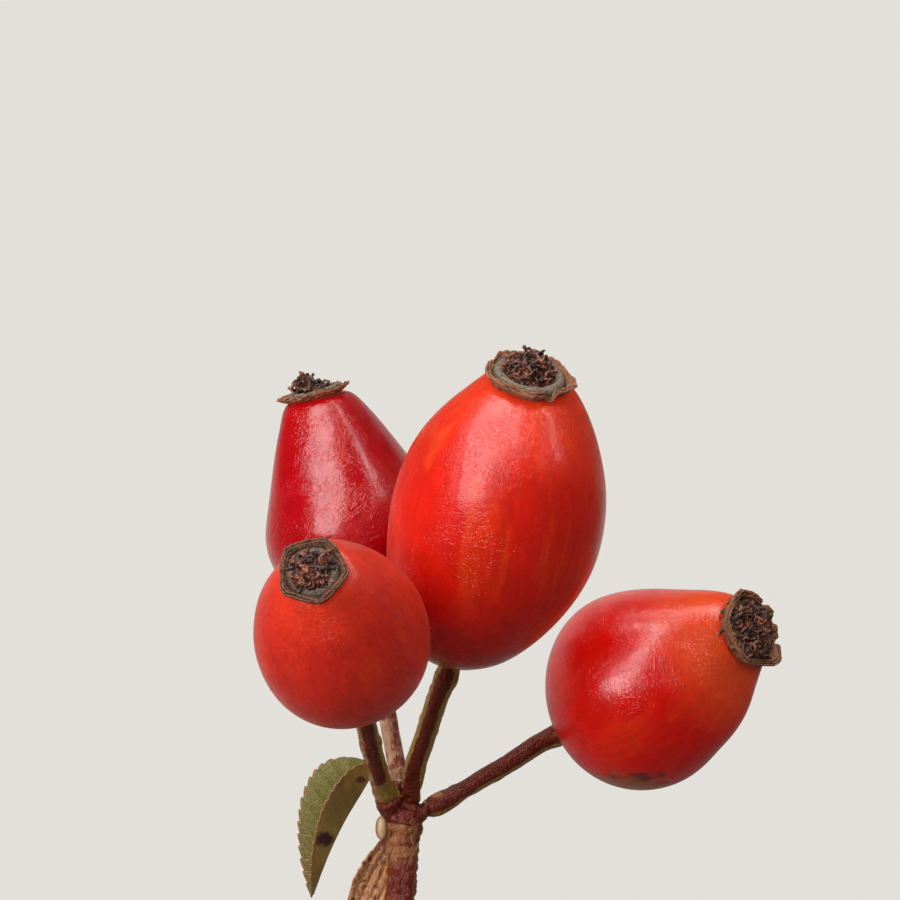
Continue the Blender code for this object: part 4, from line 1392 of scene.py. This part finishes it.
BRACT_SPINE = [(-0.50, -1.75, -1.9), (-1.30, -3.4, -1.8), (-2.20, -5.0, -1.5),
               (-2.95, -6.4, -1.1)]
BRACT_HALF_WIDTH = 1.22
BRACT_ROWS = 120
BRACT_COLUMNS = 60
BRACT_THICKNESS = 0.00012
BUD_CENTRE = (-1.36, -0.98, -0.15)
BUD_ROWS = 40
BUD_SECTORS = 64
BUD_RADIUS = 0.40
BUD_HALF_LENGTH = 0.74
BUD_POLE = 0.06             # hole left round each pole before the caps, in radians


def bract_material(look):
    mat, t, shader = new_material("dry_bract")
    across = t.attribute("across")
    along = t.attribute("along")
    own = t.own_place()
    cells = t.voronoi(t.stretch(own, 1.0, 0.8, 1.0), 2.3, "DISTANCE_TO_EDGE")
    cell = t.band(cells["Distance"], 0.05, 0.24)
    patch = t.band(t.noise(own, 1.5, 3.0), 0.42, 0.62)
    colour = t.mix(t.times(cell, t.math("MAXIMUM", patch, 0.45)), look.bract, look.bract_cells)
    fan = t.plus(t.times(across, 4.0), t.times(along, 1.2))
    vein = t.band(t.off_middle(t.math("FRACT", fan)), 0.43, 0.5)
    colour = t.mix(t.times(vein, 0.75), colour, look.bract_vein)
    height = t.plus(t.times(vein, 0.8), t.noise(own, 3.0, 4.0, 0.65))
    height = t.minus(height, t.times(cell, 0.4))
    t.feed(shader, {"Base Color": colour, "Roughness": 0.5, "Specular IOR Level": 0.4,
                    "Normal": t.bump(height, 0.0001)})
    return mat


def make_bract(look):
    s = np.linspace(0, 1, BRACT_ROWS)
    places = np.linspace(-1, 1, BRACT_COLUMNS)
    spine = spline(BRACT_SPINE, BRACT_ROWS)
    tangent = unit_rows(np.gradient(spine, axis=0))
    sideways = unit_rows(np.cross(tangent, np.array([0, 0, 1.0])))
    width = BRACT_HALF_WIDTH * (0.30 + 0.70 * np.sin(np.pi * np.minimum(1, 0.12 + 0.75 * s)))
    edge = 1 + 0.05 * around_noise(BRACT_ROWS, 2.0, 4.0)
    grid = []
    for place in places:
        ripple = 0.10 * np.sin(9 * s + 3 * place)
        lift = (0.45 + ripple) * max(0.0, place) ** 2
        folds = 0.05 * np.sin(14 * place + 3 * s) * np.sin(np.pi * s)
        column = spine + sideways * (width * place * edge)[:, None]
        column[:, 2] += lift + folds
        grid.append(column)
    grid = np.array(grid).swapaxes(0, 1)
    obj = sheet_piece("papery_bract", grid, BRACT_THICKNESS, bract_material(look),
                      across=np.tile(places, BRACT_ROWS), along=np.repeat(s, BRACT_COLUMNS),
                      own_place=grid.reshape(-1, 3))
    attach(obj, "root")
    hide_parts("dry_bract")


def bud_material(look):
    mat, t, shader = new_material("bud_scale")
    own = t.own_place()
    rim = t.band(t.vector_math("LENGTH", t.stretch(own, 1.0, 0.38, 0.0)), 0.20, 0.33)
    tone = t.band(t.noise(own, 2.4, 3.0), 0.35, 0.7)
    colour = t.mix(t.times(tone, 0.35), look.bud, look.bud_pale)
    t.feed(shader, {"Base Color": t.mix(rim, colour, look.bud_edge), "Roughness": 0.5,
                    "Normal": t.bump(t.noise(own, 5.0, 3.0), 0.00003)})
    return mat


def make_bud(look):
    angle = round_angles(BUD_SECTORS)
    rows = []
    for polar in np.linspace(BUD_POLE, np.pi - BUD_POLE, BUD_ROWS):
        wide = BUD_RADIUS * math.sin(polar) ** 0.9
        height = np.full(BUD_SECTORS, -BUD_HALF_LENGTH * math.cos(polar))
        rows.append(np.stack([wide * np.cos(angle), height, -wide * np.sin(angle)], axis=1))
    grid = np.array(rows)
    lumps = noise_at(grid.reshape(-1, 3), 2.0, 2, 9.0).reshape(BUD_ROWS, BUD_SECTORS, 1)
    verts, faces = lathe(grid * (1 + 0.04 * lumps))
    own = np.array(verts)
    points = [grown(*p) for p in own + np.array(BUD_CENTRE)]
    obj = finish_piece("bud_scale", points, faces, bud_material(look), own_place=own)
    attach(obj, "root")
    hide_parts("bud")


# =============================================================================
# Stage
# =============================================================================

GLOW_NEAR = 0.014           # the floor's glow is full this close to the sprig, in metres
GLOW_FAR = 0.032            # and gone this far off
GLOW_SIDE = Vector((-0.25, 0.97, 0.0)).normalized()
GLOW_BEHIND = 0.10          # share of the glow on the side away from GLOW_SIDE
FLOOR_REACH = 1.5           # half of the floor's side, in metres
LIGHTS_AIM = (3, 12, 7)     # in fork millimetres, as is the point that the camera looks at
CAMERA_AIM = (2.94, 22.81, 5.0)
SENSOR = 36.0               # width of the camera's sensor, in millimetres
# Soft panels that light the skins without being mirrored: tilt off the view and turn from
# right towards up, both in degrees, then how bright each one is and whether it casts shadows.
PANELS = {
    "high_left": (22, 120, 1.9, True),
    "high_side": (22, 180, 3.3, True),
    "right": (42, 40, 2.5, True),
    "left": (42, 160, 4.0, True),
    "soft_high": (60, 120, 1.6, False),
    "soft_left": (60, 150, 7.0, False),
    "side": (60, 180, 4.9, True),
    "beyond_right": (78, 25, 2.4, True),
    "beyond": (78, 90, 4.5, True),
    "beyond_left": (78, 128, 3.1, True),
    "rim": (95, 61, 3.3, True),
}
# Panels that only show as reflections: tilt, turn, how bright, and their angles wide and high.
MIRRORED = {
    "window": (46, 121, 8.4, 36, 74),
    "strip": (76, 55, 7.0, 9, 46),
    "beyond_low": (94, 88, 4.0, 60, 13),
}


def room_strength(t, soft, sheen):
    """Full strength to the eye, less for what it lights, and its own for what mirrors it."""
    path = t.add("ShaderNodeLightPath").outputs
    lit = t.plus(soft, t.times(path["Is Glossy Ray"], t.minus(sheen, soft)))
    return t.plus(lit, t.times(path["Is Camera Ray"], 1.0 - soft))


def floor_material(look):
    """Pale floor that shows one even colour, and glows towards the skins close to it."""
    mat = bpy.data.materials.new("floor_paint")
    mat.use_nodes = True
    mat.node_tree.nodes.clear()
    t = Tree(mat.node_tree)
    where = t.add("ShaderNodeTexCoord").outputs["Object"]
    near = t.band(t.vector_math("LENGTH", where), GLOW_NEAR, GLOW_FAR, 1.0, 0.0)
    beyond = t.vector_math("DOT_PRODUCT", where, tuple(GLOW_SIDE))
    lean = t.band(beyond, -GLOW_NEAR, GLOW_NEAR, GLOW_BEHIND, 1.0)
    mirrored = t.plus(look.sheen, t.times(t.times(near, lean), look.glow))
    glow = t.add("ShaderNodeEmission", {"Color": look.floor,
                                        "Strength": room_strength(t, look.bounce, mirrored)})
    t.add("ShaderNodeOutputMaterial", {"Surface": glow.outputs[0]})
    return mat


def make_floor(look):
    bm = bmesh.new()
    bmesh.ops.create_grid(bm, x_segments=8, y_segments=8, size=FLOOR_REACH)
    mesh = bpy.data.meshes.new("floor")
    bm.to_mesh(mesh)
    bm.free()
    mesh.materials.append(floor_material(look))
    floor = add_object("floor", mesh)


def make_world(look):
    world = bpy.data.worlds.new("soft_room")
    bpy.context.scene.world = world
    world.use_nodes = True
    world.node_tree.nodes.clear()
    t = Tree(world.node_tree)
    glow = t.add("ShaderNodeBackground", {"Color": look.floor,
                                          "Strength": room_strength(t, look.fill, look.sheen)})
    t.add("ShaderNodeOutputWorld", {"Surface": glow.outputs[0]})


def look_from(position, backwards):
    """Placement of a camera or light that faces away from backwards, level with VIEW_UP."""
    x_axis = VIEW_UP.cross(backwards).normalized()
    y_axis = backwards.cross(x_axis)
    turn = Matrix((x_axis, y_axis, backwards)).transposed()
    return Matrix.Translation(position) @ turn.to_4x4()


def make_light(name, look, tilt, turn, bright, size, shadows=True, mirrored=False):
    """Soft panel that faces the sprig, either only mirrored or never mirrored."""
    tilt = math.radians(tilt)
    turn = math.radians(turn)
    level = VIEW_RIGHT * math.cos(turn) + VIEW_UP * math.sin(turn)
    towards = level * math.sin(tilt) + SEEN_FROM * math.cos(tilt)
    data = bpy.data.lights.new(name, "AREA")
    data.shape = "RECTANGLE"
    data.size, data.size_y = size
    data.energy = math.pi * size[0] * size[1] * bright * look.brightness
    data.use_shadow = shadows
    light = add_object(name, data)
    light.visible_glossy = mirrored
    light.visible_diffuse = not mirrored
    light.matrix_world = look_from(grown(*LIGHTS_AIM) + towards * look.panel_distance, towards)


def make_camera(look):
    scene = bpy.context.scene
    data = bpy.data.cameras.new("camera")
    data.sensor_width = SENSOR
    data.lens = SENSOR * look.distance / look.view_width
    data.clip_start = 0.01
    data.clip_end = 10.0
    camera = add_object("camera", data)
    camera.matrix_world = look_from(grown(*CAMERA_AIM) + SEEN_FROM * look.distance, SEEN_FROM)
    scene.camera = camera
    scene.view_settings.view_transform = "Standard"
    scene.view_settings.look = "None"


def make_stage(look):
    make_floor(look)
    make_world(look)
    for name, (tilt, turn, bright, shadows) in PANELS.items():
        size = (look.panel_size, look.panel_size)
        make_light(name, look, tilt, turn, bright, size, shadows)
    for name, (tilt, turn, bright, wide, high) in MIRRORED.items():
        size = [2 * look.panel_distance * math.tan(math.radians(angle / 2))
                for angle in (wide, high)]
        make_light(name, look, tilt, turn, bright, size, mirrored=True)
    make_camera(look)


# =============================================================================
# Operators, panel and run
# =============================================================================

def shared_group(name, build):
    """A node group by name, built the first time that it is asked for."""
    found = bpy.data.node_groups.get(name)
    return found if found else build()


class SPRIG_OT_hips(bpy.types.Operator):
    """Build the glossy skins of the hips"""
    bl_idname = "sprig.hips"
    bl_label = "Hips"

    def execute(self, context):
        pores = shared_group("Pores", pore_group)
        group = shared_group("Fruit skin", lambda: skin_group(pores))
        for place in PLACES:
            make_hip(place, getattr(context.scene, f"sprig_skin_{place}"), group)
        return {"FINISHED"}


class SPRIG_OT_crowns(bpy.types.Operator):
    """Build the layered dry rims and felted discs"""
    bl_idname = "sprig.crowns"
    bl_label = "Crowns"

    def execute(self, context):
        look = context.scene.sprig_crowns
        rim_mat = crown_material(look, shared_group("Fibres", fibre_group))
        felt_mat = felt_material(look)
        for place in PLACES:
            make_crown(place, rim_mat, felt_mat)
        return {"FINISHED"}


class SPRIG_OT_tufts(bpy.types.Operator):
    """Grow the withered styles in the crowns"""
    bl_idname = "sprig.tufts"
    bl_label = "Style tufts"

    def execute(self, context):
        look = context.scene.sprig_crowns
        tree = thread_tree()
        mat = tuft_material(look)
        for place in PLACES:
            make_tuft(place, look, tree, mat)
        return {"FINISHED"}


class SPRIG_OT_bark(bpy.types.Operator):
    """Grow the stem and the stalks together under one bark"""
    bl_idname = "sprig.bark"
    bl_label = "Bark"

    def execute(self, context):
        make_bark(context.scene.sprig_bark, shared_group("Fibres", fibre_group),
                  shared_group("Pores", pore_group))
        return {"FINISHED"}


class SPRIG_OT_leaf(bpy.types.Operator):
    """Build the folded leaflet, the papery bract and the bud"""
    bl_idname = "sprig.leaf"
    bl_label = "Leaflet, bract and bud"

    def execute(self, context):
        look = context.scene.sprig_leaf
        make_leaf(look)
        make_bract(look)
        make_bud(look)
        return {"FINISHED"}


class SPRIG_OT_stage(bpy.types.Operator):
    """Lay the floor and set the lights and the camera"""
    bl_idname = "sprig.stage"
    bl_label = "Stage"

    def execute(self, context):
        make_stage(context.scene.sprig_stage)
        return {"FINISHED"}


class SPRIG_PT_panel(bpy.types.Panel):
    """Lists the sprig's building steps and settings."""
    bl_label = "Rose Hip Sprig"
    bl_idname = "SPRIG_PT_panel"
    bl_space_type = "VIEW_3D"
    bl_region_type = "UI"
    bl_category = "Sprig"

    def draw(self, context):
        for operator in OPERATORS:
            self.layout.operator(operator.bl_idname)
        for name in SETTINGS:
            settings = getattr(context.scene, name)
            box = self.layout.box()
            box.label(text=name.replace("_", " ").title())
            for field in settings.__annotations__:
                box.prop(settings, field)


OPERATORS = (SPRIG_OT_hips, SPRIG_OT_crowns, SPRIG_OT_tufts, SPRIG_OT_bark, SPRIG_OT_leaf,
             SPRIG_OT_stage)
SETTINGS = {f"sprig_skin_{place}": cls for place, cls in SKIN_CLASSES.items()}
SETTINGS.update(sprig_crowns=SprigCrownSettings, sprig_bark=SprigBarkSettings,
                sprig_leaf=SprigLeafSettings, sprig_stage=SprigStageSettings)


def register():
    for cls in (*SETTINGS.values(), *OPERATORS, SPRIG_PT_panel):
        bpy.utils.register_class(cls)
    for name, cls in SETTINGS.items():
        setattr(bpy.types.Scene, name, bpy.props.PointerProperty(type=cls))


def unregister():
    for name in SETTINGS:
        delattr(bpy.types.Scene, name)
    for cls in reversed((*SETTINGS.values(), *OPERATORS, SPRIG_PT_panel)):
        bpy.utils.unregister_class(cls)


def main():
    register()
    bpy.ops.sprig.hips()
    bpy.ops.sprig.crowns()
    bpy.ops.sprig.tufts()
    bpy.ops.sprig.bark()
    bpy.ops.sprig.leaf()
    bpy.ops.sprig.stage()


if __name__ == "__main__":
    main()
